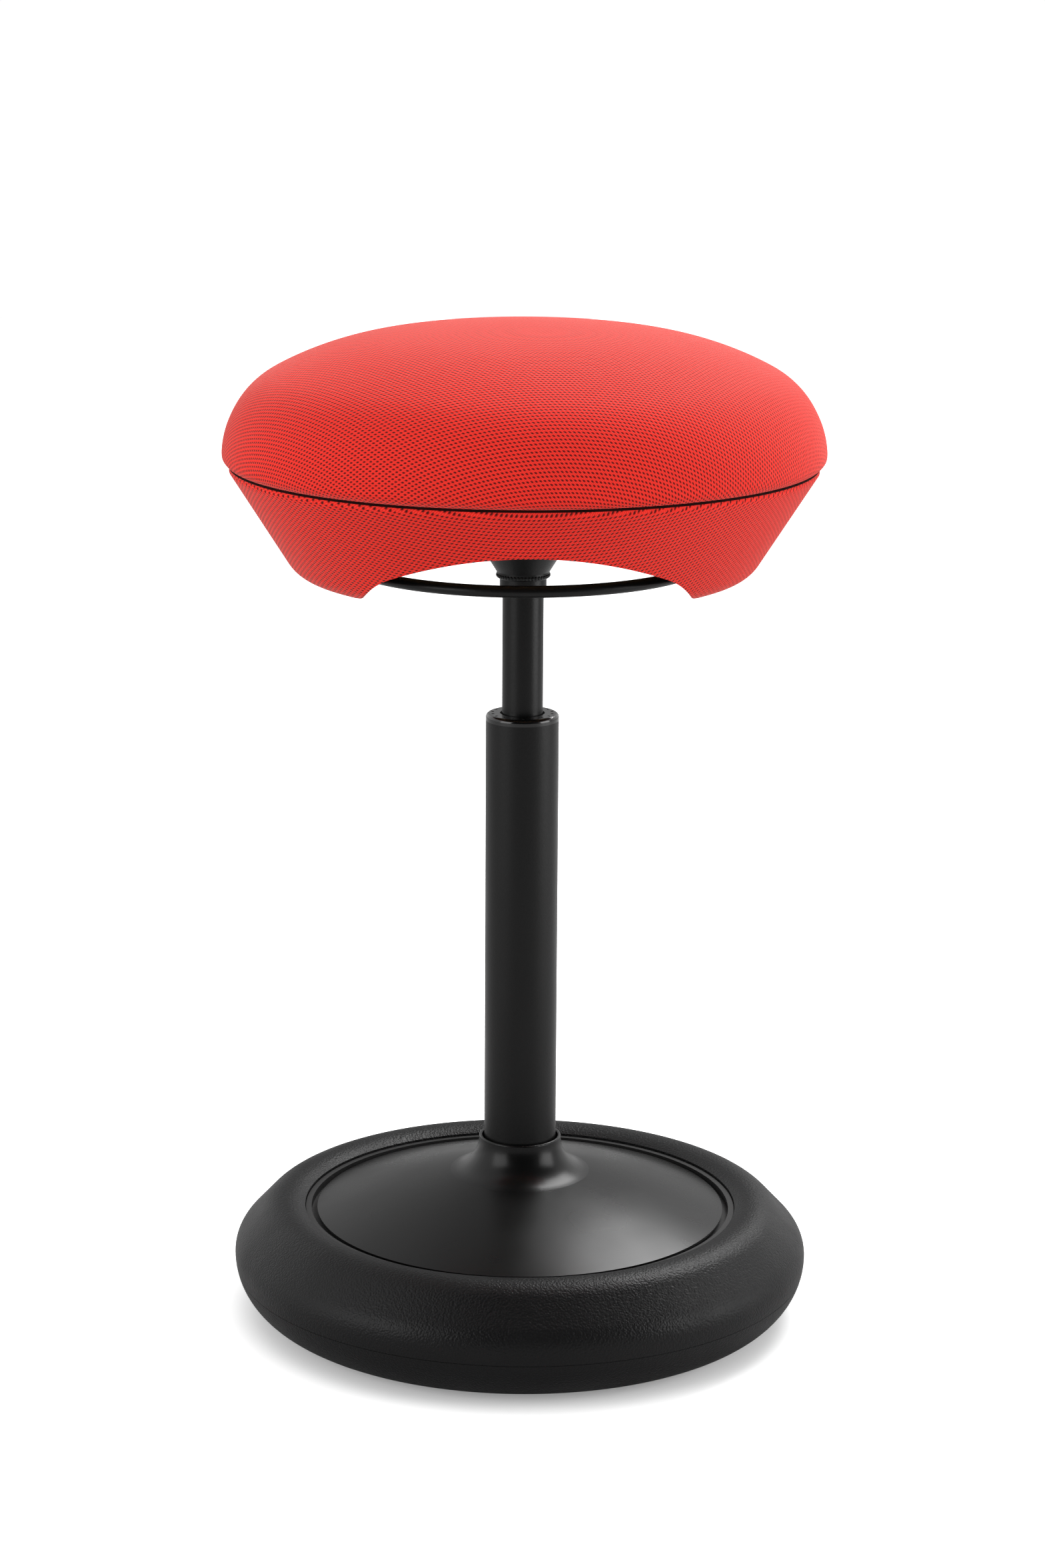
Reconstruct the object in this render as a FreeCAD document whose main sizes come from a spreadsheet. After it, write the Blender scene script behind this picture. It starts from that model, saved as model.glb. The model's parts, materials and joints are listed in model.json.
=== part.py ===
"""Wobble stool: a round knitted seat on a gas spring that leans on a foam foot ring.

Millimetres, +Z up, the origin on the floor under the column. The hand arch faces -Y.
Every driving dimension is a cell of the sheet "Sizes"; the profiles are bound to its aliases.
"""
import FreeCAD, Part
import math
import os
import re

import Sketcher

# name: (millimetres, or a plain count or ratio; what it measures)
SIZES = {
    "foot_radius": (200.4, "foot ring, widest radius"),
    "foot_waist": (42.8, "foot ring, height of its widest circle"),
    "foot_crest_inset": (36.4, "foot ring, from its widest circle in to the crest"),
    "foot_crest": (80.1, "foot ring, height of the crest"),
    "foot_shoulder": (22.7, "foot ring, radius of both shoulder arcs"),
    "foot_lip_inset": (13.1, "foot ring, from the crest in to the inner lip"),
    "foot_width": (58.9, "foot ring, from its widest circle in to the wall round the tray"),
    "foot_sole_corner": (6.5, "foot ring, inner corner of the sole"),
    "parting_height": (33.0, "foot ring, joint between its two mouldings"),
    "parting_gap": (0.3, "foot ring, width of the joint line"),
    "soft_gap": (0.3, "free gap round soft pieces"),
    "slip_fit": (0.05, "radial clearance of running and slip fits"),
    "tray_floor": (18.0, "tray, underside"),
    "tray_wall": (3.0, "tray, wall"),
    "tray_gap": (0.5, "tray, gap to the foot ring's wall and lip"),
    "tray_corner": (8.0, "tray, outer bottom corner"),
    "tray_flange": (66.3, "tray, underside of the flange"),
    "tray_rim": (74.4, "tray, top of the rim round the cover"),
    "tray_rim_width": (3.9, "tray, width of that rim"),
    "tray_rib_width": (2.5, "tray, rib under the cover's edge"),
    "brace_count": (12, "tray, number of braces inside the wall, and of ribs underneath"),
    "brace_wall": (2.5, "tray, thickness of the braces and ribs"),
    "brace_length": (9.0, "tray, length of a brace on the floor"),
    "brace_height": (30.0, "tray, height of a brace on the wall"),
    "rib_depth": (4.0, "tray, depth of the ribs underneath"),
    "rib_inner": (66.0, "tray, inner end of the ribs underneath"),
    "cover_gap": (4.1, "cover, gap round its edge"),
    "cover_edge": (73.9, "cover, height of the edge"),
    "cover_wall": (2.2, "cover, wall"),
    "cover_collar": (28.5, "cover, outer radius of the collar"),
    "cover_flare": (25.6, "cover, radius of the flare"),
    "cover_collar_height": (125.2, "cover, height where the collar's rim starts"),
    "cover_slope": (12.0, "cover, slope in degrees where the dome meets the flare"),
    "snap_count": (6, "cover, number of snap tabs"),
    "snap_width": (14.0, "cover, width of a snap tab"),
    "snap_wall": (2.0, "cover, thickness of a snap tab"),
    "snap_depth": (16.0, "cover, how far a snap tab hangs below the edge"),
    "snap_hook": (1.4, "cover, how far a snap tab's hook stands out"),
    "snap_hook_height": (3.0, "cover, height of that hook"),
    "ballast_inner": (64.0, "ballast ring, inner radius"),
    "ballast_gap": (12.0, "ballast ring, gap to the tray's wall"),
    "ballast_height": (24.0, "ballast ring, height"),
    "ballast_chamfer": (3.0, "ballast ring, edge chamfer"),
    "small_screw": (3.0, "ballast screws, shank radius"),
    "base_bolt_circle": (50.0, "socket bolts, radius of their circle"),
    "bolt_radius": (4.0, "bolts, shank radius"),
    "bolt_head": (6.5, "bolts, head radius"),
    "bolt_head_height": (5.3, "bolts, head height"),
    "bolt_hole": (4.25, "bolts, clearance hole radius"),
    "nut_across": (13.0, "nuts, width across flats"),
    "nut_height": (6.5, "nuts, height"),
    "socket_plate_radius": (60.0, "socket plate, radius"),
    "socket_plate_wall": (5.0, "socket plate, thickness"),
    "socket_plate_gap": (1.0, "socket plate, gap round the tube's end"),
    "socket_length": (66.0, "column socket, length"),
    "socket_wall": (5.0, "column socket, wall at the top"),
    "socket_weld": (3.5, "column socket, weld leg"),
    "gusset_wall": (4.0, "gussets, thickness"),
    "gusset_height": (56.0, "gussets, height"),
    "gusset_inset": (2.0, "gussets, from the plate's edge"),
    "taper": (0.025, "seating tapers, radius per length"),
    "column_radius": (25.0, "outer tube, radius"),
    "column_wall": (2.0, "outer tube, wall"),
    "column_foot": (24.0, "outer tube, lower end"),
    "column_taper_length": (72.0, "outer tube, length of the taper"),
    "column_top": (423.6, "outer tube, upper end"),
    "bush_length": (94.0, "guide bush, length inside the tube"),
    "cap_height": (4.8, "guide bush, height of the cap"),
    "cap_shoulder": (2.6, "guide bush, radius of the cap's edge"),
    "cap_mouth": (15.3, "guide bush, radius of the mouth"),
    "cap_mouth_depth": (3.0, "guide bush, depth of the mouth"),
    "end_plate_seat": (5.0, "end plate, height above the tube's end"),
    "end_plate_wall": (3.0, "end plate, thickness"),
    "race_outer": (13.0, "thrust bearing, outer radius"),
    "race_wall": (2.0, "thrust bearing, washer thickness"),
    "race_gap": (0.6, "thrust bearing, lower washer's gap to the rod"),
    "ball_radius": (1.5, "thrust bearing, ball radius"),
    "ball_circle": (9.3, "thrust bearing, radius of the ball circle"),
    "ball_count": (10, "thrust bearing, number of balls"),
    "cage_wall": (1.2, "thrust bearing, cage thickness"),
    "journal_radius": (4.0, "piston rod, radius of the lower end"),
    "rod_radius": (5.0, "piston rod, radius"),
    "rod_top": (443.0, "piston rod, upper end"),
    "rod_tail": (1.5, "piston rod, height of its end above the tube's end"),
    "clip_wall": (1.1, "retaining clip, thickness"),
    "clip_depth": (0.8, "retaining clip, depth of its groove"),
    "washer_wall": (0.8, "retaining clip, thickness of the washer above it"),
    "bump_length": (20.0, "bump stop, length"),
    "bump_radius": (12.0, "bump stop, radius"),
    "bump_waist": (2.0, "bump stop, depth of the groove round it"),
    "piston_height": (14.0, "piston, height"),
    "piston_neck": (3.5, "piston, radius of its seat on the rod"),
    "rod_rivet": (2.0, "piston rod, length riveted over the piston"),
    "seal_height": (4.0, "piston seal, height"),
    "seal_depth": (2.0, "piston seal, depth of its groove"),
    "lift_radius": (14.0, "pressure tube, radius"),
    "lift_wall": (1.4, "pressure tube, wall"),
    "lift_foot": (145.0, "pressure tube, lower end as pictured"),
    "lift_top": (569.0, "pressure tube, upper end as pictured"),
    "lift_taper_length": (48.0, "pressure tube, length of the taper"),
    "cylinder_radius": (10.6, "inner cylinder, bore radius"),
    "cylinder_wall": (0.9, "inner cylinder, wall"),
    "guide_height": (17.5, "rod guide, height"),
    "rod_seal_height": (7.0, "rod seal, height"),
    "valve_height": (34.0, "valve body, height above the cylinder"),
    "valve_spigot": (5.0, "valve body, depth inside the cylinder"),
    "valve_land": (11.2, "valve body, radius"),
    "pin_radius": (2.0, "release pin, radius"),
    "button_radius": (3.5, "release pin, radius of the button"),
    "button_height": (6.0, "release pin, height of the button"),
    "button_stand": (2.5, "release pin, height of the button above the tube"),
    "hub_foot": (517.0, "seat socket, lower end"),
    "hub_wall": (1.9, "seat socket, wall at the mouth"),
    "funnel_foot": (522.0, "funnel, lower end of the weld roll"),
    "funnel_roll": (2.2, "funnel, radius of the weld roll"),
    "funnel_slope": (0.627, "funnel, radius per height"),
    "funnel_throat": (18.0, "funnel, radius where the cone starts"),
    "funnel_throat_height": (526.5, "funnel, height where the cone starts"),
    "funnel_wall": (2.0, "funnel, wall"),
    "slot_half_width": (6.0, "funnel, half width of the lever slots"),
    "slot_depth": (17.5, "funnel, depth of the lever slots"),
    "plate_bottom": (588.0, "mounting plate, underside"),
    "plate_wall": (3.0, "mounting plate, thickness"),
    "plate_radius": (88.0, "mounting plate, radius"),
    "plate_rim": (8.0, "mounting plate, depth of the turned rim"),
    "seat_bolt_circle": (72.0, "seat bolts, radius of their circle"),
    "board_gap": (0.7, "seat board, gap to the skirt shell"),
    "board_wall": (12.0, "seat board, thickness"),
    "nut_barrel": (4.9, "sunk nuts, barrel radius"),
    "nut_flange": (10.0, "sunk nuts, flange radius"),
    "nut_flange_wall": (1.5, "sunk nuts, flange thickness"),
    "bolt_short": (1.0, "seat bolts, how far they end below the board's top"),
    "ring_radius": (121.0, "ring lever, radius of the rod's centre line"),
    "ring_height": (535.0, "ring lever, height of the rod's centre line"),
    "ring_rod": (4.0, "ring lever, rod radius"),
    "arm_bend": (25.0, "ring lever, bend radius of the arms"),
    "arm_knee": (58.0, "ring lever, radius of the arms' corner"),
    "rocker_height": (580.0, "rocker, height of its pivot"),
    "rocker_reach": (26.0, "rocker, pivot ahead of the column's axis"),
    "rocker_tail": (9.0, "rocker, length behind the column's axis"),
    "rocker_half_width": (22.0, "rocker, half width"),
    "rocker_wall": (4.0, "rocker, thickness"),
    "rocker_barrel": (5.5, "rocker, radius of the pivot barrel"),
    "pivot_radius": (3.0, "pivot pin, radius"),
    "pivot_head": (2.0, "pivot pin, thickness of the head"),
    "pivot_tail": (1.6, "pivot pin, length past its clip"),
    "pivot_clip_wall": (1.0, "pivot pin, thickness of its clip"),
    "pivot_play": (0.1, "pivot pin, play at the clip"),
    "ear_gap": (0.6, "bracket, side play of the rocker"),
    "ear_wall": (3.0, "bracket, thickness of the ears"),
    "ear_half_length": (8.0, "bracket, half length of the ears"),
    "ear_drop": (15.0, "bracket, height of the ears"),
    "bracket_web": (2.0, "bracket, thickness of the web"),
    "skirt_radius": (196.5, "skirt, radius at the top of the cone"),
    "skirt_top": (597.3, "skirt, height of the top of the cone"),
    "skirt_slope": (0.6325, "skirt, radius per height"),
    "skirt_bottom": (526.5, "skirt, lowest edge"),
    "skirt_corner": (21.8, "skirt, radius of the bottom corner"),
    "skirt_return": (133.0, "skirt, inner edge of the turned-in bottom"),
    "skirt_lip": (2.6, "skirt, height of the lip above the cone"),
    "knit_wall": (1.6, "knitted cover, thickness"),
    "shell_wall": (3.0, "skirt shell, wall"),
    "flange_width": (16.3, "skirt shell, width of the flange under the board"),
    "screw_inset": (8.3, "skirt screws, from the board's edge"),
    "shell_screw_count": (8, "skirt screws, number"),
    "shell_screw": (2.0, "skirt screws, shank radius"),
    "shell_screw_length": (10.0, "skirt screws, length in the board"),
    "arch_apex": (566.7, "hand arches, height of the apex"),
    "arch_radius": (205.0, "hand arches, radius"),
    "arch_blend": (88.0, "hand arches, half width where the end curves start"),
    "arch_end": (40.0, "hand arches, radius of the end curves"),
    "arch_corner": (5.0, "hand arches, corner radius"),
    "cushion_overhang": (6.9, "cushion, how far it stands out past the skirt"),
    "cushion_waist": (609.2, "cushion, height of its widest circle"),
    "cushion_crown": (694.6, "cushion, height of the crown"),
    "cushion_shoulder": (62.2, "cushion, radius of the shoulder's arc"),
    "cushion_slope": (231.7, "cushion, radius of the arc between shoulder and crown"),
    "cushion_top": (780.0, "cushion, radius of the crown's arc"),
    "seam_overhang": (0.3, "cushion, how far its seam stands out past the skirt"),
    "cushion_seam": (600.6, "cushion, height of the seam"),
    "seat_knit": (1.5, "cushion cover, thickness"),
}

# sizes worked out from the ones above
DERIVED = {
    "foot_crest_radius": "foot_radius - foot_crest_inset",
    "foot_lip_radius": "foot_crest_radius - foot_lip_inset",
    "foot_bore": "foot_radius - foot_width",
    "sole_edge": "foot_radius - foot_waist",
    "shoulder_run": "foot_radius - foot_shoulder - foot_crest_radius",
    "shoulder_drop": "foot_crest - foot_shoulder - foot_waist",
    "shoulder_slant": "sqrt(shoulder_run^2 + shoulder_drop^2)",
    "shoulder_out": "foot_shoulder * shoulder_drop / shoulder_slant",
    "shoulder_up": "foot_shoulder * shoulder_run / shoulder_slant",
    "foot_lip": "foot_crest - foot_shoulder + sqrt(foot_shoulder^2 - foot_lip_inset^2)",
    "foot_ledge": "tray_flange - soft_gap",
    "parting_low": "parting_height - parting_gap / 2",
    "parting_high": "parting_height + parting_gap / 2",
    "parting_low_radius": "sole_edge + sqrt(foot_waist^2 - (foot_waist - parting_low)^2)",
    "parting_high_radius": "sole_edge + sqrt(foot_waist^2 - (foot_waist - parting_high)^2)",
    "tray_radius": "foot_bore - tray_gap",
    "tray_inside": "tray_radius - tray_wall",
    "tray_top": "tray_floor + tray_wall",
    "tray_flange_top": "tray_flange + tray_wall",
    "tray_rim_radius": "foot_lip_radius - tray_gap",
    "cover_radius": "tray_rim_radius - tray_rim_width - cover_gap",
    "dome_radius": "-(dome_run^2 + dome_drop^2) / (2 * (dome_run * slope_sine - dome_drop * slope_cosine))",
    "slope_sine": "sin(cover_slope)",
    "slope_cosine": "cos(cover_slope)",
    "flare_centre": "cover_collar + cover_flare",
    "flare_radius": "flare_centre - cover_flare * slope_sine",
    "flare_height": "cover_collar_height - cover_flare * slope_cosine",
    "dome_run": "cover_radius - flare_radius",
    "dome_drop": "flare_height - cover_edge",
    "dome_centre_radius": "flare_radius - dome_radius * slope_sine",
    "dome_centre_height": "flare_height - dome_radius * slope_cosine",
    "edge_inward": "cover_wall * (cover_radius - dome_centre_radius) / dome_radius",
    "edge_down": "cover_wall * (cover_edge - dome_centre_height) / dome_radius",
    "snap_radius": "tray_inside - 2 * soft_gap",
    "snap_end": "cover_edge - snap_depth",
    "ballast_outer": "tray_inside - ballast_gap",
    "ballast_screw_circle": "(ballast_inner + ballast_outer) / 2",
    "rib_top": "cover_edge - edge_down + soft_gap",
    "plate_top": "tray_top + socket_plate_wall",
    "column_end_radius": "column_radius - taper * column_taper_length",
    "taper_top": "column_foot + column_taper_length",
    "socket_foot_radius": "column_end_radius + taper * (plate_top - column_foot) + slip_fit",
    "socket_top": "plate_top + socket_length",
    "socket_top_radius": "socket_foot_radius + taper * socket_length",
    "socket_outer": "socket_top_radius + socket_wall",
    "column_bore": "column_radius - column_wall",
    "column_end_bore": "column_end_radius - column_wall",
    "end_plate_bottom": "column_foot + end_plate_seat",
    "end_plate_top": "end_plate_bottom + end_plate_wall",
    "end_plate_radius": "column_end_bore + taper * end_plate_seat - slip_fit",
    "cap_top": "column_top + cap_height",
    "bush_bottom": "column_top - bush_length",
    "bush_bore": "lift_radius + slip_fit",
    "race_seat": "end_plate_top + race_wall",
    "ball_height": "race_seat + ball_radius + slip_fit",
    "race_top_seat": "ball_height + ball_radius + slip_fit",
    "race_top": "race_top_seat + race_wall",
    "rod_foot": "column_foot + rod_tail",
    "clip_top": "end_plate_bottom - washer_wall - 2 * slip_fit",
    "clip_bottom": "clip_top - clip_wall",
    "piston_foot": "rod_top - piston_height - rod_rivet",
    "seal_foot": "piston_foot + (piston_height - seal_height) / 2",
    "piston_radius": "cylinder_radius - 3 * slip_fit",
    "lift_bore": "lift_radius - lift_wall",
    "lift_top_radius": "lift_radius - taper * lift_taper_length",
    "lift_taper_foot": "lift_top - lift_taper_length",
    "guide_foot": "lift_foot + lift_wall + slip_fit",
    "guide_top": "guide_foot + guide_height",
    "rod_seal_foot": "guide_top + slip_fit",
    "rod_seal_top": "rod_seal_foot + rod_seal_height",
    "cylinder_foot": "rod_seal_top + slip_fit",
    "valve_seat": "lift_top - valve_height",
    "valve_shoulder": "lift_top - lift_wall - slip_fit",
    "button_foot": "lift_top + button_stand",
    "hub_outer": "lift_radius + hub_wall",
    "hub_inner": "hub_outer + slip_fit",
    "funnel_skin": "funnel_wall * sqrt(1 + funnel_slope^2)",
    "funnel_rim": "funnel_throat + funnel_slope * (plate_bottom - funnel_throat_height)",
    "plate_face": "plate_bottom + plate_wall",
    "board_top": "plate_face + board_wall",
    "skirt_hypot": "sqrt(1 + skirt_slope^2)",
    "board_radius": "skirt_radius - (knit_wall + slip_fit + shell_wall) * skirt_hypot"
                    " - skirt_slope * (skirt_top - plate_face) - board_gap",
    "shell_flange": "board_radius - flange_width",
    "shell_screw_circle": "board_radius - screw_inset",
    "corner_height": "skirt_bottom + skirt_corner",
    "corner_radius": "skirt_radius - skirt_slope * (skirt_top - corner_height)"
                     " - skirt_corner * skirt_hypot",
    "arch_centre": "arch_apex - arch_radius",
    "arch_sine": "arch_blend / arch_radius",
    "arch_cosine": "sqrt(1 - arch_sine^2)",
    "end_centre": "(arch_radius - arch_end) * arch_sine",
    "end_height": "arch_centre + (arch_radius - arch_end) * arch_cosine",
    "end_rise": "skirt_bottom + arch_corner - end_height",
    "end_reach": "sqrt((arch_end + arch_corner)^2 - end_rise^2)",
    "arch_foot": "end_centre + end_reach",
    "arch_share": "arch_end / (arch_end + arch_corner)",
    "cushion_radius": "skirt_radius + cushion_overhang",
    "cushion_seam_radius": "skirt_radius + seam_overhang",
    "shoulder_centre": "cushion_radius - cushion_shoulder",
    "top_centre": "cushion_crown - cushion_top",
    "centre_drop": "cushion_waist - top_centre",
    "centre_span": "shoulder_centre^2 + centre_drop^2",
    "centre_share": "(centre_span + (cushion_slope - cushion_shoulder)^2"
                    " - (cushion_top - cushion_slope)^2) / (2 * centre_span)",
    "centre_swing": "sqrt((cushion_slope - cushion_shoulder)^2 / centre_span - centre_share^2)",
    "slope_centre": "shoulder_centre * (1 - centre_share) - centre_swing * centre_drop",
    "slope_level": "cushion_waist - centre_share * centre_drop + centre_swing * shoulder_centre",
    "hem_tuck": "cushion_radius - cushion_seam_radius",
    "hem_drop": "cushion_waist - cushion_seam",
    "hem_radius": "(hem_tuck^2 + hem_drop^2) / (2 * hem_tuck)",
}

os.makedirs("parts", exist_ok=True)
doc = FreeCAD.newDocument("wobble_stool")
sheet = doc.addObject("Spreadsheet::Sheet", "Sizes")
for row, (alias, (number, meaning)) in enumerate(SIZES.items(), start=1):
    sheet.set(f"A{row}", meaning)
    sheet.set(f"B{row}", str(number))
    sheet.setAlias(f"B{row}", alias)
doc.recompute()
pieces = []


def bound(text):
    """The expression with each name replaced by its cell, or by the formula that gives it."""
    def swap(match):
        name = match.group()
        if name in DERIVED:
            return "(" + bound(DERIVED[name]) + ")"
        return "Sizes." + name if name in SIZES else name
    return re.sub(r"[a-z][a-z_]+", swap, text)


def value(text):
    """The number that an expression gives."""
    result = sheet.evalExpression(bound(text))
    return float(getattr(result, "Value", result))


def new_body(label):
    """A part design body, kept in the list of sub-parts."""
    body = doc.addObject("PartDesign::Body", label)
    body.Label = label
    body.AllowCompound = True
    pieces.append(body)
    return body


def origin_feature(body, role):
    return next(item for item in body.Origin.OriginFeatures if item.Role == role)


def new_sketch(body, plane, shift=("0", "0", "0")):
    """A sketch on one of the body's own planes, moved by three expressions in its own axes."""
    sketch = body.newObject("Sketcher::SketchObject", body.Label + "_sketch")
    sketch.AttachmentSupport = [(origin_feature(body, plane), "")]
    sketch.MapMode = "FlatFace"
    for axis, text in zip("xyz", shift):
        if text != "0":
            sketch.setExpression("AttachmentOffset.Base." + axis, bound(text))
    return sketch


def fix_point(sketch, edge, end, place):
    """Ties one end of an edge to the sketch's origin, by two bound distances."""
    for text, kind, axis in ((place[0], "DistanceX", -2), (place[1], "DistanceY", -1)):
        if text == "0":
            sketch.addConstraint(Sketcher.Constraint("PointOnObject", edge, end, axis))
            continue
        index = sketch.addConstraint(Sketcher.Constraint(kind, -1, 1, edge, end, value(text)))
        sketch.setExpression(f"Constraints[{index}]", bound(text))


def arc_between(start, end, radius, turn):
    """The shorter arc from start to end that turns left or right."""
    chord = end.sub(start)
    half = chord.Length / 2
    side = FreeCAD.Vector(-chord.y, chord.x, 0).normalize()
    rise = math.sqrt(max(radius ** 2 - half ** 2, 0))
    centre = start.add(chord * 0.5).add(side * (rise if turn == "left" else -rise))
    first, last = (start, end) if turn == "left" else (end, start)
    angles = [math.atan2(point.y - centre.y, point.x - centre.x) for point in (first, last)]
    if angles[1] < angles[0]:
        angles[1] += 2 * math.pi
    return Part.ArcOfCircle(Part.Circle(centre, FreeCAD.Vector(0, 0, 1), radius), *angles)


def draw(sketch, outline, closed=True):
    """Draws an outline of points (x, y), or (x, y, radius, turn) where an arc leads to the point."""
    places = [FreeCAD.Vector(value(point[0]), value(point[1]), 0) for point in outline]
    ends = []
    for index in range(0 if closed else 1, len(outline)):
        point = outline[index]
        start, end = places[index - 1], places[index]
        if len(point) == 2:
            edge = sketch.addGeometry(Part.LineSegment(start, end), False)
            ends.append((edge, 1, 2, index))
            continue
        edge = sketch.addGeometry(arc_between(start, end, value(point[2]), point[3]), False)
        first, last = (1, 2) if point[3] == "left" else (2, 1)
        ends.append((edge, first, last, index))
    for (edge, first, last, index), following in zip(ends, ends[1:] + ends[:1]):
        if closed or following is not ends[0]:
            sketch.addConstraint(
                Sketcher.Constraint("Coincident", edge, last, following[0], following[1]))
        fix_point(sketch, edge, last, outline[index])
        if len(outline[index]) == 4:
            radius = outline[index][2]
            tie = sketch.addConstraint(Sketcher.Constraint("Radius", edge, value(radius)))
            sketch.setExpression(f"Constraints[{tie}]", bound(radius))
    if not closed:
        fix_point(sketch, ends[0][0], ends[0][1], outline[0])


def draw_circle(sketch, x, y, radius):
    """A circle whose centre and radius are bound."""
    centre = FreeCAD.Vector(value(x), value(y), 0)
    edge = sketch.addGeometry(
        Part.Circle(centre, FreeCAD.Vector(0, 0, 1), value(radius)), False)
    fix_point(sketch, edge, 3, (x, y))
    tie = sketch.addConstraint(Sketcher.Constraint("Radius", edge, value(radius)))
    sketch.setExpression(f"Constraints[{tie}]", bound(radius))


def spread(body, feature, count, turn_by=360):
    """Repeats a feature round the column's axis."""
    pattern = body.newObject("PartDesign::PolarPattern", body.Label + "_pattern")
    pattern.Originals = [feature]
    pattern.Axis = (origin_feature(body, "Z_Axis"), [""])
    pattern.Angle = turn_by
    pattern.setExpression("Occurrences", bound(count))
    body.Tip = pattern
    return pattern


def turned(label, outline, shift=("0", "0", "0"), count=None, axis="V_Axis", angle=360):
    """A body of revolution; with a count, that many solids round the column's axis."""
    body = new_body(label)
    sketch = new_sketch(body, "XZ_Plane", shift)
    draw(sketch, outline)
    spun = body.newObject("PartDesign::Revolution", label + "_turn")
    spun.Profile = sketch
    spun.ReferenceAxis = (sketch, [axis])
    spun.Angle = angle
    body.Tip = spun
    if count:
        spread(body, spun, count)
    return body


def pad(body, sketch, length, symmetric=False):
    feature = body.newObject("PartDesign::Pad", body.Label + "_pad")
    feature.Profile = sketch
    feature.SideType = "Symmetric" if symmetric else "One side"
    feature.setExpression("Length", bound(length))
    body.Tip = feature
    return feature


def cut(body, sketch, length, symmetric=False):
    """A pocket, which cuts away from the sketch's normal, and has to take something off."""
    doc.recompute()
    before = body.Shape.Volume
    feature = body.newObject("PartDesign::Pocket", body.Label + "_cut")
    feature.Profile = sketch
    feature.SideType = "Symmetric" if symmetric else "One side"
    feature.setExpression("Length", bound(length))
    body.Tip = feature
    doc.recompute()
    if not body.Shape.Volume < before:
        raise RuntimeError(body.Label + ": a cut takes nothing off")
    return feature


def drill(body, circle, radius, top, depth, count):
    """Round holes down from a height, on a circle round the column's axis."""
    sketch = new_sketch(body, "XY_Plane", ("0", "0", top))
    draw_circle(sketch, circle, "0", radius)
    spread(body, cut(body, sketch, depth), count)


def headed(label, circle, count, shank, head, head_height, seat, length):
    """Bolts or screws whose heads hang under a face, with shanks going up."""
    return turned(label, [
        ("0", f"{seat} - {head_height}"),
        (f"{head} * 0.85", f"{seat} - {head_height}"),
        (head, f"{seat} - {head_height} * 0.7"),
        (head, seat),
        (shank, seat),
        (shank, f"{seat} + {length} - {shank} / 2"),
        (f"{shank} / 2", f"{seat} + {length}"),
        ("0", f"{seat} + {length}"),
    ], shift=(circle, "0", "0"), count=count)


def build_foot():
    """The foam foot ring, in the two mouldings that the joint line round it shows."""
    turned("foot_ring_lower", [
        ("foot_bore + foot_sole_corner", "0", "foot_sole_corner", "left"),
        ("sole_edge", "0"),
        ("parting_low_radius", "parting_low", "foot_waist", "left"),
        ("foot_bore", "parting_low"),
        ("foot_bore", "foot_sole_corner"),
    ])
    turned("foot_ring_upper", [
        ("foot_bore", "parting_high"),
        ("parting_high_radius", "parting_high"),
        ("foot_radius", "foot_waist", "foot_waist", "left"),
        ("foot_radius - foot_shoulder + shoulder_out", "foot_waist + shoulder_up",
         "foot_shoulder", "left"),
        ("foot_crest_radius + shoulder_out", "foot_crest - foot_shoulder + shoulder_up"),
        ("foot_lip_radius", "foot_lip", "foot_shoulder", "left"),
        ("foot_lip_radius", "foot_ledge"),
        ("foot_bore", "foot_ledge"),
    ])


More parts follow.
